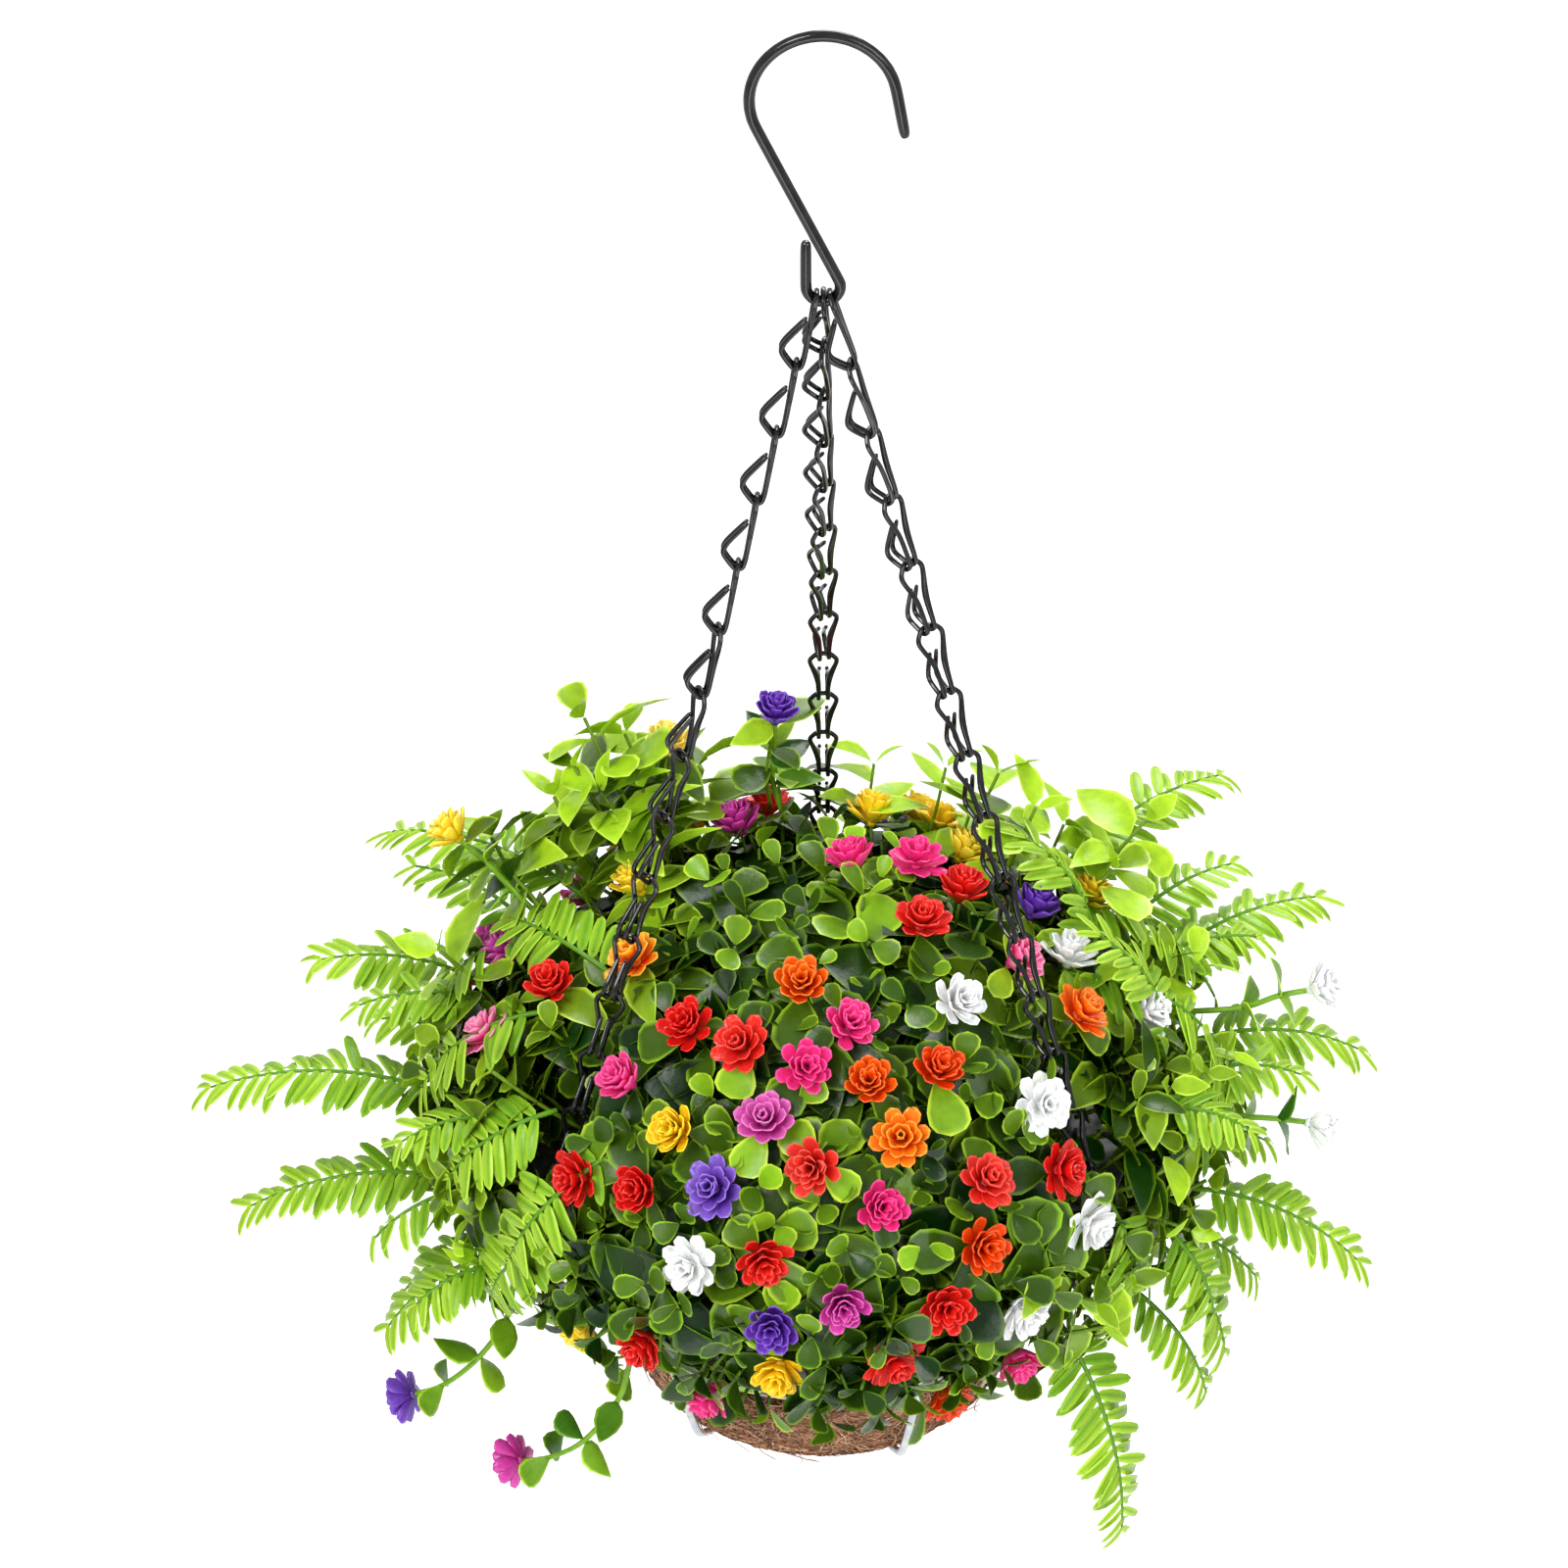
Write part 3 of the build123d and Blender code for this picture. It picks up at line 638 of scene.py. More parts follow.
@dataclass(frozen=True)
class Mound:
    """The outer form of the mass of leaves, read from the frame."""

    rim_z: float
    radius: float = 130.0 * MM
    side_swell: float = 16.0 * MM
    height: float = 104.0 * MM
    rise: float = 5.0 * MM
    slot_half: float = 8.0 * MM
    chain_top: float = -98.0 * MM
    chain_foot: float = 122.0 * MM
    chain_turns: tuple[float, ...] = (-150.0, -30.0, 90.0)
    swell_reach: float = 38.0
    swell_fade: float = 16.0

    def reach(self, turn: float) -> float:
        """Half the mound's width on one side: it swells at the left and the right.

        Args:
            turn: Degrees round the basket.

        Returns:
            The half width in metres.
        """
        away = math.degrees(math.acos(abs(math.cos(math.radians(turn)))))
        share = min(max((self.swell_reach - away) / self.swell_fade, 0.0), 1.0)
        return self.radius + self.side_swell * share

    def point(self, turn: float, band: float, depth: float = 0.0) -> Vector:
        """A point of the mound.

        Args:
            turn: Degrees round the basket.
            band: Degrees up the mound.
            depth: How far inside the surface, in metres.

        Returns:
            The point.
        """
        t, b = math.radians(turn), math.radians(band)
        across = (self.reach(turn) - depth) * math.cos(b)
        up = (self.height - depth) * math.sin(b)
        return turned(t, across, self.rim_z + self.rise + up)

    def outward(self, turn: float, band: float) -> Vector:
        """The direction straight out of the leaves.

        Args:
            turn: Degrees round the basket.
            band: Degrees up the mound.

        Returns:
            The direction, of length 1.
        """
        t, b = math.radians(turn), math.radians(band)
        return turned(t, math.cos(b) / self.radius, math.sin(b) / self.height).normalized()

    def over_chain(self, point: Vector, width: float, depth: float) -> Vector | None:
        """How far to move a point inwards so that it lies behind a chain.

        Args:
            point: The point to look at.
            width: How near to the chain's plane it may come, in metres.
            depth: How far behind the chain it should be, in metres.

        Returns:
            The move, or None where the point hides no chain.
        """
        drop = min(max((self.chain_top - point.z) / (self.chain_top - self.rim_z), 0.0), 1.0)
        for turn in self.chain_turns:
            away = turned(math.radians(turn), 1.0, 0.0)
            along = point.dot(away)
            side = Vector((point.x - away.x * along, point.y - away.y * along)).length
            excess = along - self.chain_foot * drop + depth
            if along > 0.0 and side < width and excess > 0.0:
                return -away * excess
        return None


def islands(node: str) -> list[list[Vector]]:
    """The separate pieces of a CAD node.

    Args:
        node: The node's name.

    Returns:
        The distinct corner points of each piece.
    """
    mesh = frame["nodes"][node].data
    keys = [tuple(round(c * 1e6) for c in v.co) for v in mesh.vertices]
    leader = {key: key for key in keys}

    def find(key: tuple[int, ...]) -> tuple[int, ...]:
        """The key that stands for a corner's piece.

        Args:
            key: The corner's key.

        Returns:
            The piece's key.
        """
        while leader[key] != key:
            leader[key] = leader[leader[key]]
            key = leader[key]
        return key

    for face in mesh.polygons:
        corners = [keys[v] for v in face.vertices]
        for corner in corners[1:]:
            leader[find(corner)] = find(corners[0])
    groups: dict[tuple[int, ...], list[Vector]] = {}
    for key in sorted(leader):
        groups.setdefault(find(key), []).append(Vector(key) * 1e-6)
    return [groups[key] for key in sorted(groups)]


@dataclass(frozen=True)
class Seat:
    """Where a blossom sits and which way it opens."""

    foot: Vector
    out: Vector

    @property
    def head(self) -> Vector:
        """The middle of the blossom."""
        return self.foot + self.out * 8.0 * MM


def blossom_seats(node: str) -> list[Seat]:
    """The seats of all blossoms in a CAD node.

    Args:
        node: The node's name.

    Returns:
        One seat for each cup.
    """
    seats = []
    for corners in islands(node):
        middle = sum(corners, Vector()) / len(corners)
        corners.sort(key=lambda corner: (corner - middle).length)
        half = len(corners) // 2
        foot = sum(corners[:half], Vector()) / half
        brim = sum(corners[half:], Vector()) / half
        seats.append(Seat(foot, (brim - foot).normalized()))
    return seats


def far_corner(node: str, foot: Vector) -> Vector:
    """The corner of a CAD node that lies farthest from a point.

    Args:
        node: The node's name.
        foot: The point.

    Returns:
        The corner.
    """
    corners = [corner for island in islands(node) for corner in island]
    return max(corners, key=lambda corner: (corner - foot).length)


def flex_paths(steps: tuple[float, ...] = (0.0, 9.0, 18.0, 27.0, 36.0)) -> list[Vector]:
    """Points along the inner stretch of every piece that flexes, which other pieces leave free.

    Args:
        steps: How far from the foot each point is, in millimetres.

    Returns:
        The points of all pieces.
    """
    points = []
    for joint in frame["joints"]:
        node = joint["name"].removesuffix("_flex")
        if node in frame["nodes"]:
            foot = Vector(joint["pos_m"])
            ahead = (far_corner(node, foot) - foot).normalized()
            points += [foot + ahead * step * MM for step in steps]
    return points


@dataclass
class Room:
    """What the leaves grow round: the blossoms, and the paths of the pieces that flex."""

    blossoms: list[Seat]
    paths: list[Vector]
    keep_off: list[Vector] = field(init=False)
    path_room: float = 15.0 * MM
    blossom_room: float = 9.0 * MM
    leaf_room: float = 11.0 * MM

    def __post_init__(self) -> None:
        """Note the points that no leaf lies over."""
        self.keep_off = [seat.head for seat in self.blossoms] + self.paths

    def on_path(self, tip: Vector) -> bool:
        """Whether a stem that ends here is in the way of a piece that flexes."""
        return any((tip - point).length < self.path_room for point in self.paths)

    def taken(self, tip: Vector) -> bool:
        """Whether a stem that ends here is in the way, or stands in a blossom."""
        return self.on_path(tip) or any((tip - seat.foot).length < self.blossom_room for seat in self.blossoms)

    def hidden(self, middle: Vector) -> bool:
        """Whether a leaf with its middle here would cover a blossom or lie on a path."""
        return any((middle - point).length < self.leaf_room for point in self.keep_off)


# ---------------------------------------------------------------- wires
@dataclass
class WireWork:
    """Hook, chains, rings and ribs: the CAD wires, rounded and finished."""

    chain_nodes: tuple[str, ...] = (
        "chain_left", "chain_right", "chain_back", "rim_hook_left", "rim_hook_right", "rim_hook_back",
    )
    frame_nodes: tuple[str, ...] = ("rim_ring", "belt_ring", "foot_ring")
    ribs: int = 6
    weld: float = 0.004 * MM
    chain_swell: float = 0.3 * MM
    frame_swell: float = 0.2 * MM

    def rounded(self, node: str, swell: float) -> None:
        """Round a faceted wire.

        Args:
            node: The CAD node.
            swell: What the rounding takes off the radius, in metres.
        """
        piece = frame["nodes"][node]
        shade_smooth(piece.data)
        merge = piece.modifiers.new("join", "WELD")
        merge.merge_threshold = self.weld
        flat = piece.modifiers.new("flats", "DECIMATE")
        flat.decimate_type = "DISSOLVE"
        flat.angle_limit = math.radians(1.0)
        grow = piece.modifiers.new("swell", "DISPLACE")
        grow.mid_level = 0.0
        grow.strength = swell
        for kind, levels in (("SIMPLE", 1), ("CATMULL_CLARK", 2)):
            smooth = piece.modifiers.new("round", "SUBSURF")
            smooth.subdivision_type = kind
            smooth.levels = smooth.render_levels = levels

    def build(self) -> None:
        """Finish every wire."""
        coated = CoatedWire().material()
        zinc = GalvanisedWire().material()
        for node in ("hook", *self.chain_nodes):
            dress(node, coated)
            self.rounded(node, self.chain_swell)
        for node in (*self.frame_nodes, *(f"rib_{number + 1}" for number in range(self.ribs))):
            dress(node, zinc)
            self.rounded(node, self.frame_swell)


# ---------------------------------------------------------------- coir dish
@dataclass
class CoirDish:
    """The liner of pressed coconut fibre: a lumpy dish under a layer of loose strands."""

    thickness: float = 7.0 * MM
    corner: float = 13.0 * MM
    flare: float = 14.0 * MM
    middle: float = 4.0 * MM
    around: int = 144
    strands: int = 3000
    strays: int = 150
    strand_radius: tuple[float, float] = (0.12 * MM, 0.36 * MM)
    strand_step: float = 2.6 * MM
    lump: float = 1.1 * MM
    seed: int = 5

    def profile(self) -> list[tuple[float, float]]:
        """Radius and height round the dish's section, from the middle of its outside to the middle inside."""
        low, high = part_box("coir_liner")
        edge, top, bottom = high[0], high[2], low[2]
        foot = edge - self.flare
        points = [(self.middle, bottom), (foot - 2.2 * self.corner, bottom), (foot - self.corner, bottom)]
        for step in range(1, 6):
            angle = math.radians(18.0 * step)
            inset, rise = self.corner * (1 - math.sin(angle)), self.corner * (1 - math.cos(angle))
            points.append((foot - inset, bottom + rise))
        for step in range(1, 5):
            share = step / 4
            points.append((foot + (edge - foot) * share, bottom + self.corner
                           + (top - bottom - self.corner - 3.0 * MM) * share))
        points.append((edge - 2.0 * MM, top - 0.6 * MM))
        points.append((edge - 4.5 * MM, top))
        points.append((edge - self.thickness, top - 2.0 * MM))
        points.append((foot - self.thickness + 2.0 * MM, bottom + self.corner))
        points.append((foot - self.corner - self.thickness, bottom + self.thickness))
        points.append((self.middle, bottom + self.thickness))
        return points

    def build(self) -> None:
        """Make the dish and its strands."""
        profile = self.profile()
        buffer = MeshBuffer()
        for radius, height in profile:
            for step in range(self.around):
                point = turned(math.tau * step / self.around, radius, height)
                bulge = noise.noise(point * 160.0) * self.lump + noise.noise(point * 500.0) * self.lump * 0.5
                if radius > 10 * MM:
                    point.xy *= 1.0 + bulge / radius
                buffer.add_point(point, 0.3 + 0.3 * noise.noise(point * 300.0))
        buffer.close_rings(0, len(profile), self.around)
        dish = buffer.build("coir_dish", Coir("coir_mat").material(), "basket", "coir")
        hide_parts("coir_liner")
        self.build_strands(profile)

    def on_profile(
        self, profile: list[tuple[float, float]], place: float,
    ) -> tuple[float, float, float, float]:
        """A place on the section and the way out of it.

        Args:
            profile: The section's points.
            place: How far along the section, in points.

        Returns:
            Radius, height and the outward direction's two parts.
        """
        place = min(max(place, 0.0), len(profile) - 1.001)
        index = int(place)
        share = place - index
        (r0, z0), (r1, z1) = profile[index], profile[index + 1]
        dr, dz = r1 - r0, z1 - z0
        size = math.hypot(dr, dz) or 1.0
        return r0 + dr * share, z0 + dz * share, dz / size, -dr / size

    def build_strands(self, profile: list[tuple[float, float]]) -> None:
        """Lay loose strands over the outside and the upper edge.

        Args:
            profile: The section's points.
        """
        rng = random.Random(self.seed)
        buffer = MeshBuffer()
        for number in range(self.strands + self.strays):
            stray = number >= self.strands
            turn = rng.uniform(0.0, math.tau)
            place = rng.uniform(2.0, 13.8) if not stray else rng.uniform(5.0, 13.5)
            heading = rng.gauss(0.0, 0.75)
            lift = rng.uniform(0.1, 0.9) * MM
            path = []
            for step in range(9):
                radius, height, out_r, out_z = self.on_profile(profile, place)
                wave = step**1.7 * 0.12 * MM if stray else 0.35 * MM * math.sin(step * 1.3 + number)
                radius += out_r * (lift + wave)
                height += out_z * (lift + wave)
                path.append(turned(turn, radius, height))
                heading += rng.gauss(0.0, 0.35)
                turn += self.strand_step * math.cos(heading) / max(radius, 20 * MM)
                place += 0.45 * math.sin(heading)
            radius = rng.uniform(*self.strand_radius)
            buffer.add_tube(path, [radius] * 8 + [radius * 0.5], 3, rng.random() ** 0.9)
        buffer.build("coir_strands", Coir("coir_strand_mat").material(), "basket", "coir")


# ---------------------------------------------------------------- pot and foam
@dataclass
class PotAndFoam:
    """The thin black pot and the foam that fills it."""

    rough: float = 0.8 * MM
    around: int = 96
    sharp: float = 20.0
    wall: float = 2.0 * MM

    def build(self) -> None:
        """Finish the pot and fill it."""
        self.dress_pot()
        self.build_foam()

    def dress_pot(self) -> None:
        """Finish the pot, with its rim and corners left sharp."""
        dress("inner_pot", PotPlastic().material())
        pot = frame["nodes"]["inner_pot"]
        shade_smooth(pot.data)
        pot.modifiers.new("join", "WELD").merge_threshold = WireWork.weld
        pot.modifiers.new("edges", "EDGE_SPLIT").split_angle = math.radians(self.sharp)

    def build_foam(self) -> None:
        """Make the foam with its rough cut faces."""
        low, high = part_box("foam_block")
        outer = (high[0] - low[0]) / 2 - self.wall
        shape = [
            (outer - 22 * MM, low[2] + 1 * MM), (outer - 15 * MM, low[2] + 12 * MM), (outer, high[2] - 3 * MM),
            (outer - 3 * MM, high[2]), (outer * 0.6, high[2]), (outer * 0.25, high[2]),
        ]
        buffer = MeshBuffer()
        for radius, height in shape:
            for step in range(self.around):
                point = turned(math.tau * step / self.around, radius, height)
                point.z += noise.noise(point * 200.0) * self.rough
                buffer.add_point(point, 0.5)
        buffer.close_rings(0, len(shape), self.around)
        foam = buffer.build("foam_fill", Foam().material(), "basket", "foam")
        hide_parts("foam_block")


# ---------------------------------------------------------------- leaves
class Growth(Enum):
    """The two kinds of bush in the basket."""

    BOX = "small round leaves in pairs, dark with a pale rim"
    BRIGHT = "pointed yellow-green leaves in pairs"


@dataclass(frozen=True)
class Stem:
    """The upper end of one stem, and how its leaves come. Its leaves' tone is painted light: each stem has a
    level of painted light, and every lower pair is painted darker, as painted shade inside the bush.
    """

    tip: Vector
    out: Vector
    flowering: bool = False
    # How brightly its leaves are painted: painted light.
    light: float = 0.56
    size: float = 1.0
    pairs: int = 3
    # How much darker each lower pair is painted: painted shade inside the bush.
    fade: float = 0.26


@dataclass(frozen=True)
class BackLeaf:
    """One broad leaf that lies across the gap between stems, with its tone painted dark as the shade in the gap.
    """

    middle: Vector
    out: Vector
    # How brightly it is painted: low, as painted shade.
    light: float


# Deep, fresh and rim colours. On the bushes the painted light picks between deep (painted shade) and fresh
# (painted light).
LEAF_COLOURS: dict[Growth, tuple[Colour, Colour, Colour]] = {
    Growth.BOX: ((0.004, 0.026, 0.002), (0.25, 0.48, 0.014), (0.56, 0.76, 0.05)),
    Growth.BRIGHT: ((0.006, 0.04, 0.002), (0.4, 0.64, 0.018), (0.6, 0.82, 0.08)),
}


@dataclass
class Bush:
    """One bush: stems that rise from the foam, each with pairs of leaves, its lengths in millimetres."""

    name: str
    growth: Growth
    mound: Mound
    seed: int
    room: Room
    stems: list[Stem] = field(default_factory=list)
    backs: list[BackLeaf] = field(default_factory=list)
    stem_length: float = 46.0
    stem_bow: float = 4.0
    pair_gap: tuple[float, float] = (10.0, 13.0)
    leaf_middle: float = 9.0

    def blades(self) -> list[Blade]:
        """The leaf forms that this bush mixes."""
        if self.growth is Growth.BOX:
            return [
                Blade(Outline.ROUND, 21.0 * MM, 18.5 * MM, fold=0.12, curl=0.55),
                Blade(Outline.ROUND, 18.0 * MM, 16.5 * MM, fold=0.05, curl=0.2, cup=0.2),
                Blade(Outline.ROUND, 23.5 * MM, 17.5 * MM, fold=0.26, curl=0.4),
                Blade(Outline.ROUND, 16.0 * MM, 11.0 * MM, fold=0.3, curl=0.25),
            ]
        return [
            Blade(Outline.POINTED, 28.0 * MM, 15.0 * MM, fold=0.28, curl=0.7),
            Blade(Outline.POINTED, 23.0 * MM, 13.5 * MM, fold=0.2, curl=0.3),
            Blade(Outline.ROUND, 20.0 * MM, 15.5 * MM, fold=0.22, curl=0.5),
        ]

    def build(self) -> None:
        """Make the bush's stems and leaves."""
        rng = random.Random(self.seed)
        grids = [blade.grid() for blade in self.blades()]
        leaves = MeshBuffer()
        for stem in self.stems:
            self.add_spray(leaves, rng, grids, stem)
        # The broad leaves painted dark, standing in for the shade between the stems.
        for back in self.backs:
            spin = Matrix.Rotation(rng.uniform(0.0, math.tau), 3, back.out)
            ahead = spin @ back.out.orthogonal().normalized()
            place = frame_at(back.middle - ahead * 11 * MM, ahead, back.out)
            leaves.add_grid(grids[0], place @ Matrix.Scale(rng.uniform(1.0, 1.3), 4), back.light)
        finish = Leaf(self.name + "_leaf", *LEAF_COLOURS[self.growth]).material()
        piece = leaves.build(self.name + "_leaves", finish, "basket", "leaves")
        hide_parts(self.name)

    def add_spray(
        self, leaves: MeshBuffer, rng: random.Random, grids: list[list[list[Row]]], stem: Stem,
    ) -> None:
        """Add one stem with its pairs of leaves.

        Args:
            leaves: Where the leaves go.
            rng: The source of variation.
            grids: The leaf forms.
            stem: The stem.
        """
        tip, out, flowering = stem.tip, stem.out, stem.flowering
        sag = Vector((0.0, 0.0, 0.25))
        root = tip - (out + sag * rng.uniform(0.2, 1.0)).normalized() * self.stem_length * MM
        bow = out.orthogonal().normalized() * rng.uniform(-self.stem_bow, self.stem_bow) * MM
        middle = (tip + root) / 2 + bow
        path = curve_through([root, middle, tip], 3)
        leaves.add_tube(path, [1.0 * MM] * 3 + [0.8 * MM] * 4, 4, 0.5)
        turn = rng.uniform(0.0, math.pi)
        side = out.orthogonal().normalized()
        distance = (1.0 if flowering else 0.5) * MM
        # Low-frequency noise over the bush, painted on as patches of light and shade.
        painted_light_patch = 0.7 * noise.noise(tip * 26.0)
        for pair in range(stem.pairs):
            turn += math.pi / 2 + rng.uniform(-0.4, 0.4)
            base = tip - out * distance
            if pair == 0 and not flowering:
                rise, size = rng.uniform(0.7, 1.1), 0.62
            elif pair == 0:
                rise, size = rng.uniform(-0.1, 0.35), 0.95
            else:
                rise, size = rng.uniform(0.1, 0.6), 1.0
            for way in (0.0, math.pi):
                round_it = Matrix.Rotation(turn + way + rng.uniform(-0.2, 0.2), 3, out) @ side
                ahead = round_it * math.cos(rise) + out * math.sin(rise)
                scale = size * stem.size * rng.uniform(0.75, 1.15)
                foot = base + ahead * 1.5 * MM
                if self.mound.over_chain(foot + ahead * 11 * MM, 5 * MM, 4 * MM):
                    continue
                if self.room.hidden(foot + ahead * self.leaf_middle * MM * stem.size):
                    continue
                place = frame_at(foot, ahead, out) @ Matrix.Rotation(rng.gauss(0.0, 0.3), 4, "X")
                # The leaf's tone: the stem's painted light and the painted light patch, with some random tone,
                # less painted shade for each lower pair.
                light = min(max(rng.gauss(stem.light + painted_light_patch, 0.2) - stem.fade * pair, 0.0), 1.0) ** 1.3
                leaves.add_grid(rng.choice(grids), place @ Matrix.Scale(scale, 4), light)
            distance += rng.uniform(*self.pair_gap) * MM * 3 / stem.pairs


@dataclass
class Planting:
    """All bushes together, with a blossom or a leafy tip at the end of every stem."""

    mound: Mound
    growths: dict[str, Growth] = field(default_factory=lambda: {
        "bush_1": Growth.BOX, "bush_2": Growth.BOX, "bush_3": Growth.BRIGHT, "bush_4": Growth.BRIGHT,
        "bush_5": Growth.BRIGHT, "bush_6": Growth.BRIGHT, "crown_bush": Growth.BOX,
    })
    crown_band: float = 58.0
    lowest_band: float = -34.0
    sprays: int = 400
    side_sprays: int = 50
    skirt_sprays: int = 120
    back_leaves: int = 620
    bare_band: float = -20.0
    bare_turn: float = 268.0
    bare_width: float = 24.0
    golden: float = 180.0 * (3.0 - math.sqrt(5.0))
    behind_chain: float = 13.0 * MM
    shoots: tuple[tuple[float, float, float], ...] = (
        (-92, 66, 146), (-77, 74, 132), (-104, 50, 120), (-128, 40, 108), (-52, 84, 118), (126, 58, 102),
        (68, 62, 122), (82, 48, 116), (48, 78, 112), (112, 40, 92), (20, 88, 106), (-20, 90, 112),
        (146, 18, 62), (-148, 12, 74), (-86, 50, 122), (-70, 60, 116), (-98, 68, 102), (-62, 74, 104),
        (-84, 84, 98), (-104, 44, 100), (-96, 36, 96), (-74, 44, 106), (-96, 56, 130), (94, 60, 98),
        (58, 70, 98),
    )
    seed: int = 11

    def outer_bush_of(self, point: Vector) -> str:
        """The bush on the side of this point."""
        turn = math.degrees(math.atan2(point.y, point.x))
        return f"bush_{round((turn + 120.0) / 60.0) % 6 + 1}"

    def bush_of(self, point: Vector) -> str:
        """The bush whose stem reaches this point."""
        crown = self.mound.radius * math.cos(math.radians(self.crown_band))
        return "crown_bush" if point.to_2d().length < crown else self.outer_bush_of(point)

    def spread(self, number: int, count: int) -> float:
        """The band of one stem among those that cover the mound evenly.

        Args:
            number: The stem's number.
            count: How many stems there are.

        Returns:
            Degrees up the mound.
        """
        low = math.sin(math.radians(self.lowest_band))
        return math.degrees(math.asin(low + (1.0 - low) * (number + 0.5) / count))

    def add_sprays(self, bushes: dict[str, Bush], rng: random.Random, room: Room) -> None:
        """Spread leafy stems evenly over the mound.

        Args:
            bushes: The bushes by name.
            rng: The source of variation.
            room: What the stems grow round.
        """
        for number in range(self.sprays):
            band = self.spread(number, self.sprays)
            turn = (number * self.golden + rng.uniform(-5, 5)) % 360.0
            deep, shallow = (9.0, -1.0) if band > 10.0 else (-1.0, -8.0)
            tip = self.mound.point(turn, band, rng.uniform(shallow, deep) * MM)
            tip += self.mound.over_chain(tip, self.mound.slot_half, self.behind_chain) or Vector()
            if room.taken(tip):
                continue
            lean = Vector((rng.gauss(0, 0.2), rng.gauss(0, 0.2), rng.gauss(0.12, 0.2)))
            out = (self.mound.outward(turn, band) + lean).normalized()
            bushes[self.bush_of(tip)].stems.append(Stem(tip, out))

    def add_shoots(self, bushes: dict[str, Bush]) -> None:
        """Add the taller leafy shoots at the back and the sides.

        Args:
            bushes: The bushes by name.
        """
        for x, y, height in self.shoots:
            tip = Vector((x * MM, y * MM, self.mound.rim_z + height * MM))
            out = Vector((x * MM * 0.4, y * MM * 0.3, 70 * MM)).normalized()
            # The tall shoots are painted brighter, with little painted shade on their lower pairs: painted light
            # on the top.
            shoot = Stem(tip, out, light=1.1, size=1.2, pairs=4, fade=0.1)
            bushes[self.outer_bush_of(tip)].stems.append(shoot)

    def add_skirt(self, bushes: dict[str, Bush], rng: random.Random, room: Room) -> None:
        """Add the stems that hang over the top ring, apart from the stretch at the front that stays bare.

        Args:
            bushes: The bushes by name.
            rng: The source of variation.
            room: What the stems grow round.
        """
        for number in range(self.skirt_sprays):
            turn = (number * self.golden * 2.0 + rng.uniform(-5, 5)) % 360.0
            band = rng.uniform(self.lowest_band - 3.0, -6.0)
            tip = self.mound.point(turn, band, rng.uniform(-9.0, -2.0) * MM)
            droop = Vector((rng.gauss(0, 0.3), rng.gauss(0, 0.3), -0.35))
            out = (self.mound.outward(turn, band) + droop).normalized()
            bare = band < self.bare_band and abs(turn - self.bare_turn) < self.bare_width
            on_chain = self.mound.over_chain(tip, self.mound.slot_half, self.behind_chain)
            if not (bare or on_chain or room.taken(tip)):
                bushes[self.bush_of(tip)].stems.append(Stem(tip, out))

    def add_sides(self, bushes: dict[str, Bush], rng: random.Random, room: Room) -> None:
        """Fill the left and the right, where the mound swells among the fronds.

        Args:
            bushes: The bushes by name.
            rng: The source of variation.
            room: What the stems grow round.
        """
        for number in range(self.side_sprays):
            middle, name = (180.0, "bush_6") if number % 2 else (-3.0, "bush_3")
            turn = middle + rng.gauss(0.0, 15.0)
            band = rng.uniform(-26.0, 34.0)
            tip = self.mound.point(turn, band, -rng.uniform(2.0, 18.0) * MM)
            lean = Vector((rng.gauss(0, 0.3), rng.gauss(0, 0.3), 0.25))
            out = (self.mound.outward(turn, band) + lean).normalized()
            if not (room.on_path(tip) or self.mound.over_chain(tip, self.mound.slot_half, 0.0)):
                # The side stems' leaves are painted a little brighter: painted light.
                bushes[name].stems.append(Stem(tip, out, light=0.75))

    def add_backs(self, bushes: dict[str, Bush], rng: random.Random, room: Room) -> None:
        """Lay leaves painted dark behind the gaps, as painted shade, and dimly painted leaves over the top ring.

        Args:
            bushes: The bushes by name.
            rng: The source of variation.
            room: What the leaves grow round.
        """
        for number in range(self.back_leaves):
            band = self.spread(number, self.back_leaves)
            turn = (number * self.golden * 5.0 + rng.uniform(-4, 4)) % 360.0
            over_ring = -16.0 < band < 14.0
            depth = rng.uniform(-2.0, 2.0) if over_ring else rng.uniform(7.0, 12.0)
            middle = self.mound.point(turn, band, depth * MM)
            middle += self.mound.over_chain(middle, 12 * MM, 15 * MM) or Vector()
            tilt = Vector((rng.gauss(0, 0.2), rng.gauss(0, 0.2), rng.gauss(0, 0.2)))
            out = (self.mound.outward(turn, band) + tilt).normalized()
            # The tone is painted shade: very dark behind the gaps, dim over the top ring.
            light = rng.uniform(0.0, 0.4) if over_ring else rng.uniform(0.0, 0.12)
            if not room.on_path(middle):
                bushes[self.bush_of(middle)].backs.append(BackLeaf(middle, out, light))

    def build(self, room: Room) -> None:
        """Grow every bush.

        Args:
            room: What the leaves grow round.
        """
        rng = random.Random(self.seed)
        bushes = {
            name: Bush(name, growth, self.mound, self.seed + number, room)
            for number, (name, growth) in enumerate(self.growths.items())
        }
        for seat in room.blossoms:
            bushes[self.bush_of(seat.foot)].stems.append(Stem(seat.foot, seat.out, True))
        self.add_sprays(bushes, rng, room)
        self.add_shoots(bushes)
        self.add_skirt(bushes, rng, room)
        self.add_sides(bushes, rng, room)
        self.add_backs(bushes, rng, room)
        for bush in bushes.values():
            bush.build()


# ---------------------------------------------------------------- blossoms
@dataclass(frozen=True)
class Whorl:
    """One ring of petals of a blossom."""

    count: int
    blade: Blade
    open_angle: float
    height: float
    start: float


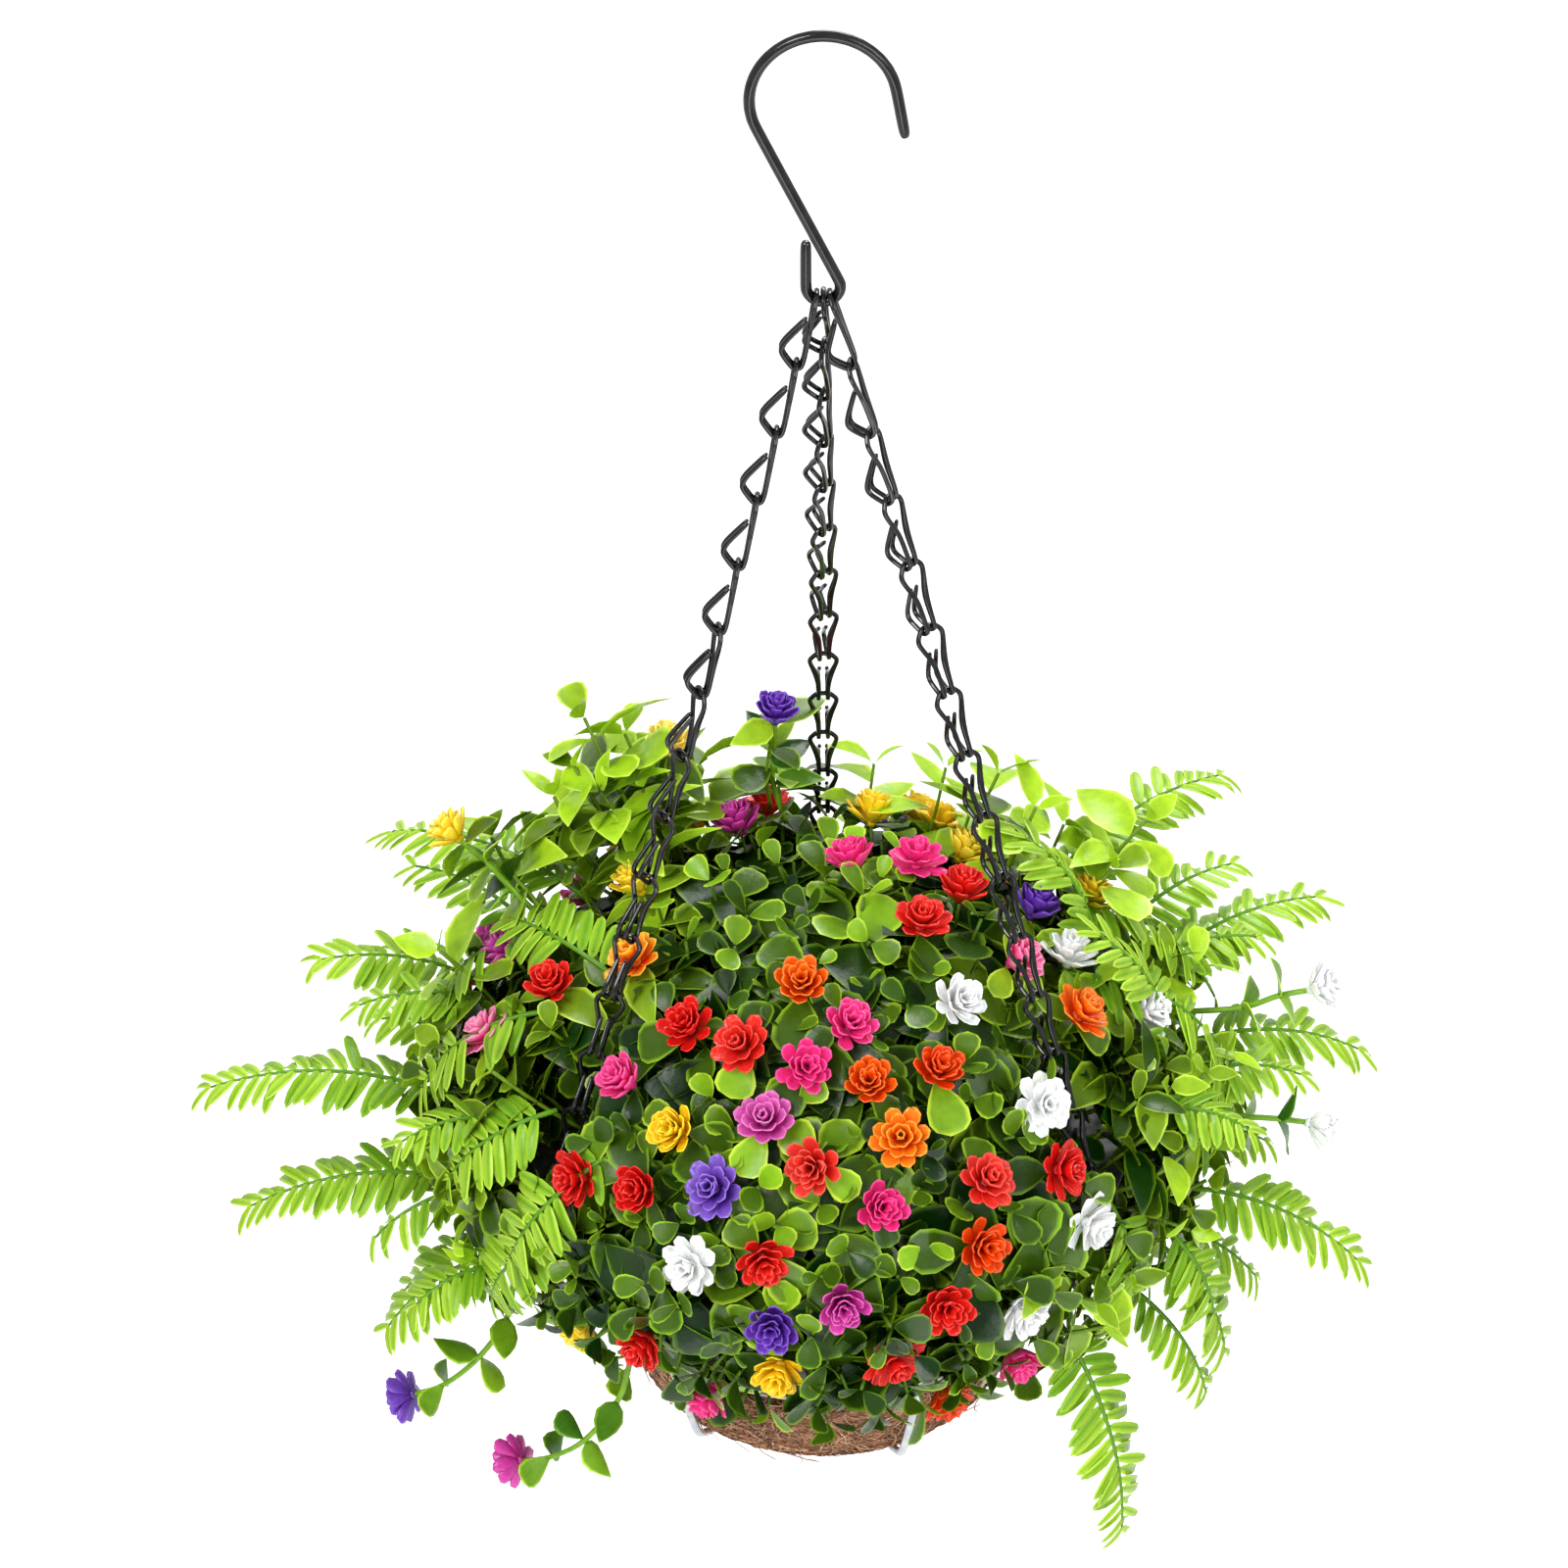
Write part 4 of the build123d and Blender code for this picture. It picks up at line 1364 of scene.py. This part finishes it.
SPOON = {"fold": 0.0, "rows": (0.0, 0.2, 0.45, 0.7, 0.9, 1.0), "columns": (-1.0, -0.6, 0.0, 0.6, 1.0)}
HEART = {"fold": 0.0, "rows": (0.0, 0.3, 0.7, 1.0), "columns": (-1.0, 0.0, 1.0)}
OPEN_WHORLS = (
    Whorl(7, Blade(Outline.ROUND, 12.8 * MM, 5.8 * MM, curl=-0.55, cup=0.45, **SPOON), 1.34, 1.2 * MM, 0.0),
    Whorl(7, Blade(Outline.ROUND, 11.4 * MM, 5.2 * MM, curl=-0.35, cup=0.45, **SPOON), 0.94, 2.8 * MM, 0.45),
    Whorl(6, Blade(Outline.ROUND, 10.2 * MM, 4.4 * MM, curl=-0.1, cup=0.5, **SPOON), 0.56, 4.4 * MM, 0.2),
    Whorl(5, Blade(Outline.ROUND, 8.6 * MM, 3.4 * MM, curl=0.1, cup=0.5, **HEART), 0.2, 6.0 * MM, 0.8),
)
FULL_WHORLS = (
    Whorl(8, Blade(Outline.ROUND, 12.4 * MM, 6.6 * MM, curl=-0.2, cup=0.35, **SPOON), 1.38, 1.2 * MM, 0.0),
    Whorl(7, Blade(Outline.ROUND, 11.0 * MM, 6.0 * MM, curl=-0.2, cup=0.4, **SPOON), 1.0, 2.6 * MM, 0.45),
    Whorl(6, Blade(Outline.ROUND, 9.2 * MM, 5.2 * MM, curl=-0.2, cup=0.45, **SPOON), 0.62, 4.2 * MM, 0.2),
    Whorl(5, Blade(Outline.ROUND, 7.4 * MM, 3.8 * MM, curl=-0.1, cup=0.5, **HEART), 0.25, 5.6 * MM, 0.8),
)

PETALS = {
    finish.name.removeprefix("petal_"): finish
    for finish in (
        Petal("petal_yellow", (0.95, 0.5, 0.0), (1.0, 0.66, 0.01), (1.0, 0.8, 0.07), (1.0, 0.9, 0.3)),
        Petal("petal_red", (0.3, 0.002, 0.002), (0.74, 0.01, 0.006), (0.85, 0.03, 0.016), (0.92, 0.09, 0.06)),
        Petal("petal_orange", (0.5, 0.012, 0.0), (0.85, 0.055, 0.002), (0.97, 0.26, 0.008), (1.0, 0.55, 0.02)),
        Petal("petal_pink", (0.55, 0.008, 0.12), (0.9, 0.03, 0.25), (0.95, 0.1, 0.36), (0.98, 0.45, 0.62)),
        Petal("petal_magenta", (0.3, 0.003, 0.12), (0.56, 0.02, 0.3), (0.72, 0.1, 0.46), (0.9, 0.5, 0.78)),
        Petal("petal_violet", (0.05, 0.006, 0.18), (0.12, 0.03, 0.4), (0.2, 0.07, 0.54), (0.3, 0.16, 0.66)),
        Petal("petal_white", (0.8, 0.82, 0.76), (0.95, 0.95, 0.94), (0.99, 0.99, 0.99), (1.0, 0.96, 0.97)),
    )
}


@dataclass
class Blossoms:
    """Blossoms of one colour, each built from rings of cupped petals on a short calyx."""

    colour: str
    thickness: float = 0.45 * MM
    full_share: float = 0.4
    calyx: float = 3.4 * MM
    seed: int = 23

    def add_blossom(self, petals: MeshBuffer, rng: random.Random, seat: Seat, size: float = 1.0) -> None:
        """Add one blossom.

        Args:
            petals: Where the petals go.
            rng: The source of variation.
            seat: Its place.
            size: Its size as a share of the full one.
        """
        lean = Vector((rng.gauss(0, 0.14), rng.gauss(0, 0.14), rng.gauss(0, 0.1)))
        out = (seat.out + lean).normalized()
        side = out.orthogonal().normalized()
        spin = rng.uniform(0.0, math.tau)
        closed = rng.uniform(0.8, 1.06)
        tone = rng.random()
        for whorl in FULL_WHORLS if rng.random() < self.full_share else OPEN_WHORLS:
            grid = whorl.blade.grid()
            for number in range(whorl.count):
                turn = spin + whorl.start + math.tau * number / whorl.count + rng.gauss(0.0, 0.07)
                away = Matrix.Rotation(turn, 3, out) @ side
                angle = whorl.open_angle * closed + rng.gauss(0.0, 0.06)
                ahead = out * math.cos(angle) + away * math.sin(angle)
                foot = seat.foot + (out * whorl.height + away * 0.9 * MM) * size
                up = out * math.sin(angle) - away * math.cos(angle)
                scale = size * rng.uniform(0.92, 1.06)
                petals.add_grid(grid, frame_at(foot, ahead, up) @ Matrix.Scale(scale, 4), tone)
        calyx = [seat.foot, seat.foot + out * self.calyx * size]
        petals.add_tube(calyx, [1.6 * MM * size, 2.2 * MM * size], 6, tone)

    def build(self, material: bpy.types.Material) -> list[Seat]:
        """Make every blossom of the colour on the mound.

        Args:
            material: The petals' finish.

        Returns:
            The seats of the blossoms.
        """
        rng = random.Random(self.seed + len(self.colour) * 7)
        node = "blossoms_" + self.colour
        seats = blossom_seats(node)
        petals = MeshBuffer()
        for seat in seats:
            self.add_blossom(petals, rng, seat)
        piece = petals.build(node + "_petals", material, "basket", "petals_" + self.colour, self.thickness)
        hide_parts(node)
        return seats


# ---------------------------------------------------------------- fern fronds
LEAFLET = {"rows": (0.0, 0.12, 0.4, 0.7, 0.9, 1.0), "columns": (-1.0, 0.0, 1.0)}
FERN_FINISH = Leaf("fern_leaf", (0.1, 0.27, 0.008), (0.27, 0.5, 0.018), (0.48, 0.7, 0.06), rim_start=0.0)


@dataclass
class Frond:
    """One fern frond: an arched midrib with narrow leaflets in pairs."""

    foot: Vector
    tip: Vector
    level: Vector
    arch: float = 0.12
    leaflet: float = 20.0 * MM
    spacing: float = 4.5 * MM
    sweep: float = 0.42
    bare_foot: float = 0.14
    up: Vector | None = None
    keep_off: list[Vector] = field(default_factory=list)
    leaflet_room: float = 10.0 * MM
    steps: int = 16
    seed: int = 3

    def midrib(self, up: Vector) -> list[Vector]:
        """The points of the arched midrib.

        Args:
            up: The way the midrib bows.

        Returns:
            The points, from foot to tip.
        """
        chord = self.tip - self.foot
        shares = [step / self.steps for step in range(self.steps + 1)]
        return [
            self.foot + chord * share + up * (self.arch * chord.length * 4 * share * (1 - share))
            for share in shares
        ]

    def leaflet_size(self, share: float) -> float:
        """How long a leaflet is: short at the foot, long in the middle and shorter to the tip.

        Args:
            share: Its place along the midrib, from 0 to 1.

        Returns:
            The length in metres.
        """
        return self.leaflet * min(1.0, 0.6 + share * 2.2) * (1.0 - 0.85 * max(share - 0.5, 0.0) ** 1.3)

    def add_to(self, buffer: MeshBuffer) -> None:
        """Add the frond to a piece.

        Args:
            buffer: The piece's mesh.
        """
        rng = random.Random(self.seed)
        chord = self.tip - self.foot
        up = self.up or chord.cross(self.level).normalized()
        if up.z < 0 and not self.up:
            up = -up
        path = self.midrib(up)
        buffer.add_tube(path, [(1.0 - 0.65 * n / self.steps) * MM for n in range(self.steps + 1)], 5, 0.05)
        shapes = [
            Blade(Outline.STRAP, 1.0, 0.26, fold=0.35, curl=curl, **LEAFLET).grid() for curl in (0.15, 0.4, 0.65)
        ]
        pairs = int(chord.length * 0.84 / self.spacing)
        for pair in range(pairs + 1):
            share = self.bare_foot + (1.0 - self.bare_foot) * pair / pairs
            place = min(share * self.steps, self.steps - 0.001)
            stretch = path[int(place)], path[int(place) + 1]
            base = stretch[0].lerp(stretch[1], place - int(place))
            along = (stretch[1] - stretch[0]).normalized()
            normal = self.level.cross(along).normalized()
            if normal.dot(up) < 0:
                normal = -normal
            size = self.leaflet_size(share)
            for way in (1.0, -1.0):
                slant = self.sweep + 0.5 * share**3 + rng.gauss(0.0, 0.07)
                ahead = self.level * way * math.cos(slant) + along * math.sin(slant)
                ahead = (ahead + normal * rng.gauss(-0.05, 0.12)).normalized()
                reach = [base + ahead * size * part for part in (0.3, 0.65, 1.0)]
                if any((a - b).length < self.leaflet_room for b in self.keep_off for a in reach):
                    continue
                matrix = frame_at(base, ahead, normal) @ Matrix.Scale(size * rng.uniform(0.92, 1.05), 4)
                shape = rng.choice(shapes)
                buffer.add_grid(shape, matrix, min(1.0, 0.25 + 0.6 * share + rng.gauss(0, 0.1)))


@dataclass
class Ferns:
    """The fronds that flex, one piece each, and the shorter ones fixed among the leaves."""

    mound: Mound
    keep_off: list[Vector]
    thickness: float = 0.35 * MM
    root_depth: float = 4.0 * MM
    laid_arch: float = 0.16
    short_leaflet: float = 17.0 * MM
    laid: dict[str, tuple[tuple[float, float, float, float, float], ...]] = field(default_factory=lambda: {
        "short_fronds_left": (
            (165, 45, 176, 20, 16), (191, 42, 188, 14, 15), (210, 30, 204, 10, 14), (218, 8, 209, -18, 15),
            (216, -6, 216, -42, 12), (226, 30, 216, 0, 15), (171, 22, 169, -14, 13), (196, 56, 172, 42, 18),
        ),
        "short_fronds_right": (
            (22, 50, 8, 18, 17), (-6, 50, -2, 12, 16), (-16, 22, -3, 0, 17), (-33, 8, -34, -24, 15),
            (-30, -6, -30, -42, 13), (-40, -14, -37, -46, 12), (-7, 22, -4, 50, 18), (4, 42, 26, 60, 22),
            (-12, 8, 4, -14, 15), (12, 16, 16, -20, 14),
        ),
    })

    def build(self) -> None:
        """Make all fronds."""
        finish = FERN_FINISH.material()
        for number, joint in enumerate(frame["joints"]):
            node = joint["name"].removesuffix("_flex")
            if not node.startswith("fern"):
                continue
            foot = Vector(joint["pos_m"])
            buffer = MeshBuffer()
            Frond(foot, far_corner(node, foot), Vector(joint["axis"]), seed=number).add_to(buffer)
            piece = buffer.build(node + "_frond", finish, joint["child"], "fern_leaf", self.thickness)
            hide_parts(node)
        for node in self.laid:
            buffer = MeshBuffer()
            for frond in self.laid_fronds(node) + self.short_fronds(node):
                frond.add_to(buffer)
            piece = buffer.build(node + "_leaflets", finish, "basket", "fern_leaf", self.thickness)
            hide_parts(node)

    def laid_fronds(self, node: str) -> list[Frond]:
        """The fronds that lie over the bushes of one side.

        Args:
            node: The CAD node whose piece they join.

        Returns:
            The fronds.
        """
        fronds = []
        for number, (turn, band, tip_turn, tip_band, lift) in enumerate(self.laid[node]):
            foot = self.mound.point(turn, band, self.root_depth)
            tip = self.mound.point(tip_turn, tip_band, -lift * MM)
            out = self.mound.outward((turn + tip_turn) / 2, (band + tip_band) / 2)
            level = (tip - foot).cross(out).normalized()
            up = level.cross(tip - foot).normalized()
            fronds.append(Frond(foot, tip, level, self.laid_arch, up=up, keep_off=self.keep_off,
                                seed=200 + number))
        return fronds

    def short_fronds(self, node: str) -> list[Frond]:
        """The short fronds at the feet of the long ones, one over each CAD plate.

        Args:
            node: The CAD node.

        Returns:
            The fronds.
        """
        fronds = []
        for number, corners in enumerate(islands(node)):
            tip = max(corners, key=lambda corner: corner.to_2d().length)
            foot = max(corners, key=lambda corner: (corner - tip).length)
            level = Vector((0, 0, 1)).cross(tip - foot).normalized()
            fronds.append(Frond(foot, tip, level, leaflet=self.short_leaflet, keep_off=self.keep_off,
                                seed=100 + number))
        return fronds


# ---------------------------------------------------------------- sprigs
@dataclass
class Sprigs:
    """Thin stems that stand out of the mound, each with leaf pairs and a blossom at its tip."""

    colours: dict[str, str] = field(default_factory=lambda: {
        "trailing_sprig_1": "violet", "trailing_sprig_2": "magenta", "upright_sprig_1": "violet",
        "upright_sprig_2": "yellow", "upright_sprig_3": "yellow", "side_sprig_1": "white",
        "side_sprig_2": "white",
    })
    bends: dict[str, tuple[tuple[float, float, float], ...]] = field(default_factory=lambda: {
        "side_sprig_1": ((26, -2, 4), (40, -3, 11), (52, -4, 15)),
        "side_sprig_2": ((19, -1, 1), (32, -3, 2), (44, -4, 1)),
        "trailing_sprig_1": ((-3, -3, -22), (-15, -4, -44), (-30, -1, -63), (-43, 2, -72)),
        "trailing_sprig_2": ((-6, -4, -23), (-20, -1, -49), (-34, 7, -67), (-46, 14, -77)),
        "upright_sprig_1": ((-5, 3, 17), (-5, 1, 33), (-4, -1, 51)),
        "upright_sprig_2": ((-5, 12, 13), (-2, 10, 27), (0, 8, 43)),
        "upright_sprig_3": ((-18, 6, 18), (-28, 11, 28), (-38, 16, 35)),
    })
    stem_radius: float = 1.0 * MM
    leaf_thickness: float = 0.35 * MM
    blossom_size: float = 0.95
    seed: int = 41

    def add_leaves(self, buffer: MeshBuffer, rng: random.Random, tops: list[Vector]) -> None:
        """Add a pair of leaves at each bend of a stem, every second pair turned a quarter round.

        Args:
            buffer: Where the leaves go.
            rng: The source of variation.
            tops: The stem's bends, with its tip.
        """
        grids = [Blade(Outline.POINTED, 19 * MM, 12 * MM, fold=0.25, curl=0.5).grid(),
                 Blade(Outline.ROUND, 17 * MM, 13 * MM, fold=0.2, curl=0.6).grid()]
        for index, top in enumerate(tops[:-1]):
            ahead = (tops[index + 1] - top).normalized()
            side = Vector((0, 0, 1)).cross(ahead).normalized()
            if index % 2:
                side = ahead.cross(side)
            for way in (1.0, -1.0):
                out = (side * way + ahead * rng.uniform(0.4, 0.9)).normalized()
                grid = rng.choice(grids)
                place = frame_at(top + out * self.stem_radius, out, ahead)
                buffer.add_grid(grid, place @ Matrix.Scale(rng.uniform(0.85, 1.05), 4), rng.random())

    def build(self, petals: dict[str, bpy.types.Material]) -> None:
        """Make every sprig.

        Args:
            petals: The petals' finishes by colour.
        """
        finish = Leaf("sprig_leaf", (0.04, 0.15, 0.01), (0.28, 0.52, 0.02), (0.5, 0.74, 0.06)).material()
        flexing = {joint["name"].removesuffix("_flex"): joint for joint in frame["joints"]}
        for number, (name, colour) in enumerate(self.colours.items()):
            rng = random.Random(self.seed + number)
            joint = flexing.get(name)
            body = joint["child"] if joint else "basket"
            seat = blossom_seats(name + "_blossom")[0]
            foot = Vector(joint["pos_m"]) if joint else far_corner(name, seat.foot)
            tops = [foot + Vector(bend) * MM for bend in self.bends[name]]
            path = curve_through([foot, *tops], 5)
            buffer = MeshBuffer()
            buffer.add_tube(path, [self.stem_radius] * len(path), 6, 0.7)
            self.add_leaves(buffer, rng, tops)
            piece = buffer.build(name + "_stem", finish, body, "sprig_leaf", self.leaf_thickness)
            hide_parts(name)
            head = MeshBuffer()
            blossom = Blossoms(colour)
            blossom.add_blossom(head, rng, seat, self.blossom_size)
            slot = "petals_" + colour
            bloom = head.build(name + "_petals", petals[colour], body, slot, blossom.thickness)
            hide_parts(name + "_blossom")


# ---------------------------------------------------------------- studio
@dataclass(frozen=True)
class Lamp:
    """One soft square lamp that points at the basket, with its side in metres and its power in watts."""

    name: str
    place: Colour
    side: float
    power: float


@dataclass
class Studio:
    """The camera, the soft lamps, the pale floor and the white surroundings."""

    distance: float = 1752.0 * MM
    elevation: float = 40.0
    aim: float = -368.0 * MM
    lens: float = 106.07
    shift: tuple[float, float] = (-0.025, 0.074)
    lamps: tuple[Lamp, ...] = (
        Lamp("key_lamp", (-1.1, -1.5, 1.5), 1.2, 50.0),
        Lamp("fill_lamp", (1.5, -1.3, 0.7), 1.4, 20.0),
        Lamp("back_lamp", (0.4, 1.6, 1.2), 1.2, 42.0),
        Lamp("low_lamp", (0.1, -1.7, -0.75), 1.0, 11.0),
    )
    sky: Colour = (0.95, 0.97, 1.0)
    sky_light: float = 0.64
    floor_drop: float = 1000.0 * MM
    floor_half: float = 6.0
    floor_shade: float = 0.9
    floor_glow: float = 0.35

    def build(self) -> None:
        """Set up the view and the light."""
        scene = bpy.context.scene
        data = bpy.data.cameras.new("camera")
        data.lens = self.lens
        data.sensor_width = 36.0
        data.shift_x, data.shift_y = self.shift
        camera = bpy.data.objects.new("camera", data)
        up = math.radians(self.elevation)
        camera.location = (0.0, -self.distance * math.cos(up), self.aim + self.distance * math.sin(up))
        camera.rotation_euler = (math.radians(90.0) - up, 0.0, 0.0)
        scene.collection.objects.link(camera)
        scene.camera = camera
        scene.view_settings.view_transform = "Standard"
        for lamp in self.lamps:
            self.hang(lamp)
        self.surround(scene)
        self.lay_floor(scene)

    def hang(self, lamp: Lamp) -> None:
        """Add one lamp.

        Args:
            lamp: The lamp.
        """
        data = bpy.data.lights.new(lamp.name, "AREA")
        data.energy = lamp.power
        data.size = lamp.side
        light = bpy.data.objects.new(lamp.name, data)
        light.location = lamp.place
        target = Vector((0.0, 0.0, self.aim))
        light.rotation_euler = (target - Vector(lamp.place)).to_track_quat("-Z", "Y").to_euler()
        bpy.context.scene.collection.objects.link(light)

    def when_seen(self, tree: bpy.types.NodeTree, unseen: float, seen: float) -> bpy.types.NodeSocket:
        """A value that differs between what the camera sees and the light that falls on the basket.

        Args:
            tree: The node tree.
            unseen: The value for the light.
            seen: The value for the camera.

        Returns:
            The value's socket.
        """
        path = tree.nodes.new("ShaderNodeLightPath")
        value = tree.nodes.new("ShaderNodeMapRange")
        value.inputs["To Min"].default_value = unseen
        value.inputs["To Max"].default_value = seen
        tree.links.new(path.outputs["Is Camera Ray"], value.inputs["Value"])
        return value.outputs["Result"]

    def surround(self, scene: bpy.types.Scene) -> None:
        """Light everything softly from all round, before white surroundings.

        Args:
            scene: The scene.
        """
        world = bpy.data.worlds.new("surroundings")
        world.use_nodes = True
        back = world.node_tree.nodes["Background"]
        back.inputs["Color"].default_value = (*self.sky, 1.0)
        strength = self.when_seen(world.node_tree, self.sky_light, 1.0)
        world.node_tree.links.new(strength, back.inputs["Strength"])
        scene.world = world

    def lay_floor(self, scene: bpy.types.Scene) -> None:
        """Lay a wide pale floor far below.

        Args:
            scene: The scene.
        """
        half, height = self.floor_half, CAD_BOX[0][2] - self.floor_drop
        corners = [(-half, -half, height), (half, -half, height), (half, half, height), (-half, half, height)]
        mesh = bpy.data.meshes.new("floor")
        mesh.from_pydata(corners, [], [(0, 1, 2, 3)])
        shader = Shader("floor")
        shader.set(Base_Color=(self.floor_shade,) * 3, Roughness=0.9, Emission_Color=(1.0, 1.0, 1.0))
        tree = shader.material.node_tree
        tree.links.new(self.when_seen(tree, 0.0, self.floor_glow), shader.principled.inputs["Emission Strength"])
        mesh.materials.append(shader.material)
        floor = bpy.data.objects.new("floor", mesh)
        scene.collection.objects.link(floor)


def main() -> None:
    """Build the basket's pieces in order."""
    logging.basicConfig(level=logging.INFO, format="%(message)s")
    Studio().build()
    WireWork().build()
    CoirDish().build()
    PotAndFoam().build()
    rim_low, rim_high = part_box("rim_ring")
    mound = Mound(rim_z=(rim_low[2] + rim_high[2]) / 2)
    petals = {colour: finish.material() for colour, finish in PETALS.items()}
    seats: list[Seat] = []
    for colour in PETALS:
        seats += Blossoms(colour).build(petals[colour])
    upright = [blossom_seats(f"upright_sprig_{number + 1}_blossom")[0] for number in range(3)]
    paths = flex_paths()
    Planting(mound).build(Room(seats + upright, paths))
    Ferns(mound, [seat.head for seat in seats] + paths + flex_paths((48.0, 60.0))).build()
    Sprigs().build(petals)


if __name__ == "__main__":
    main()
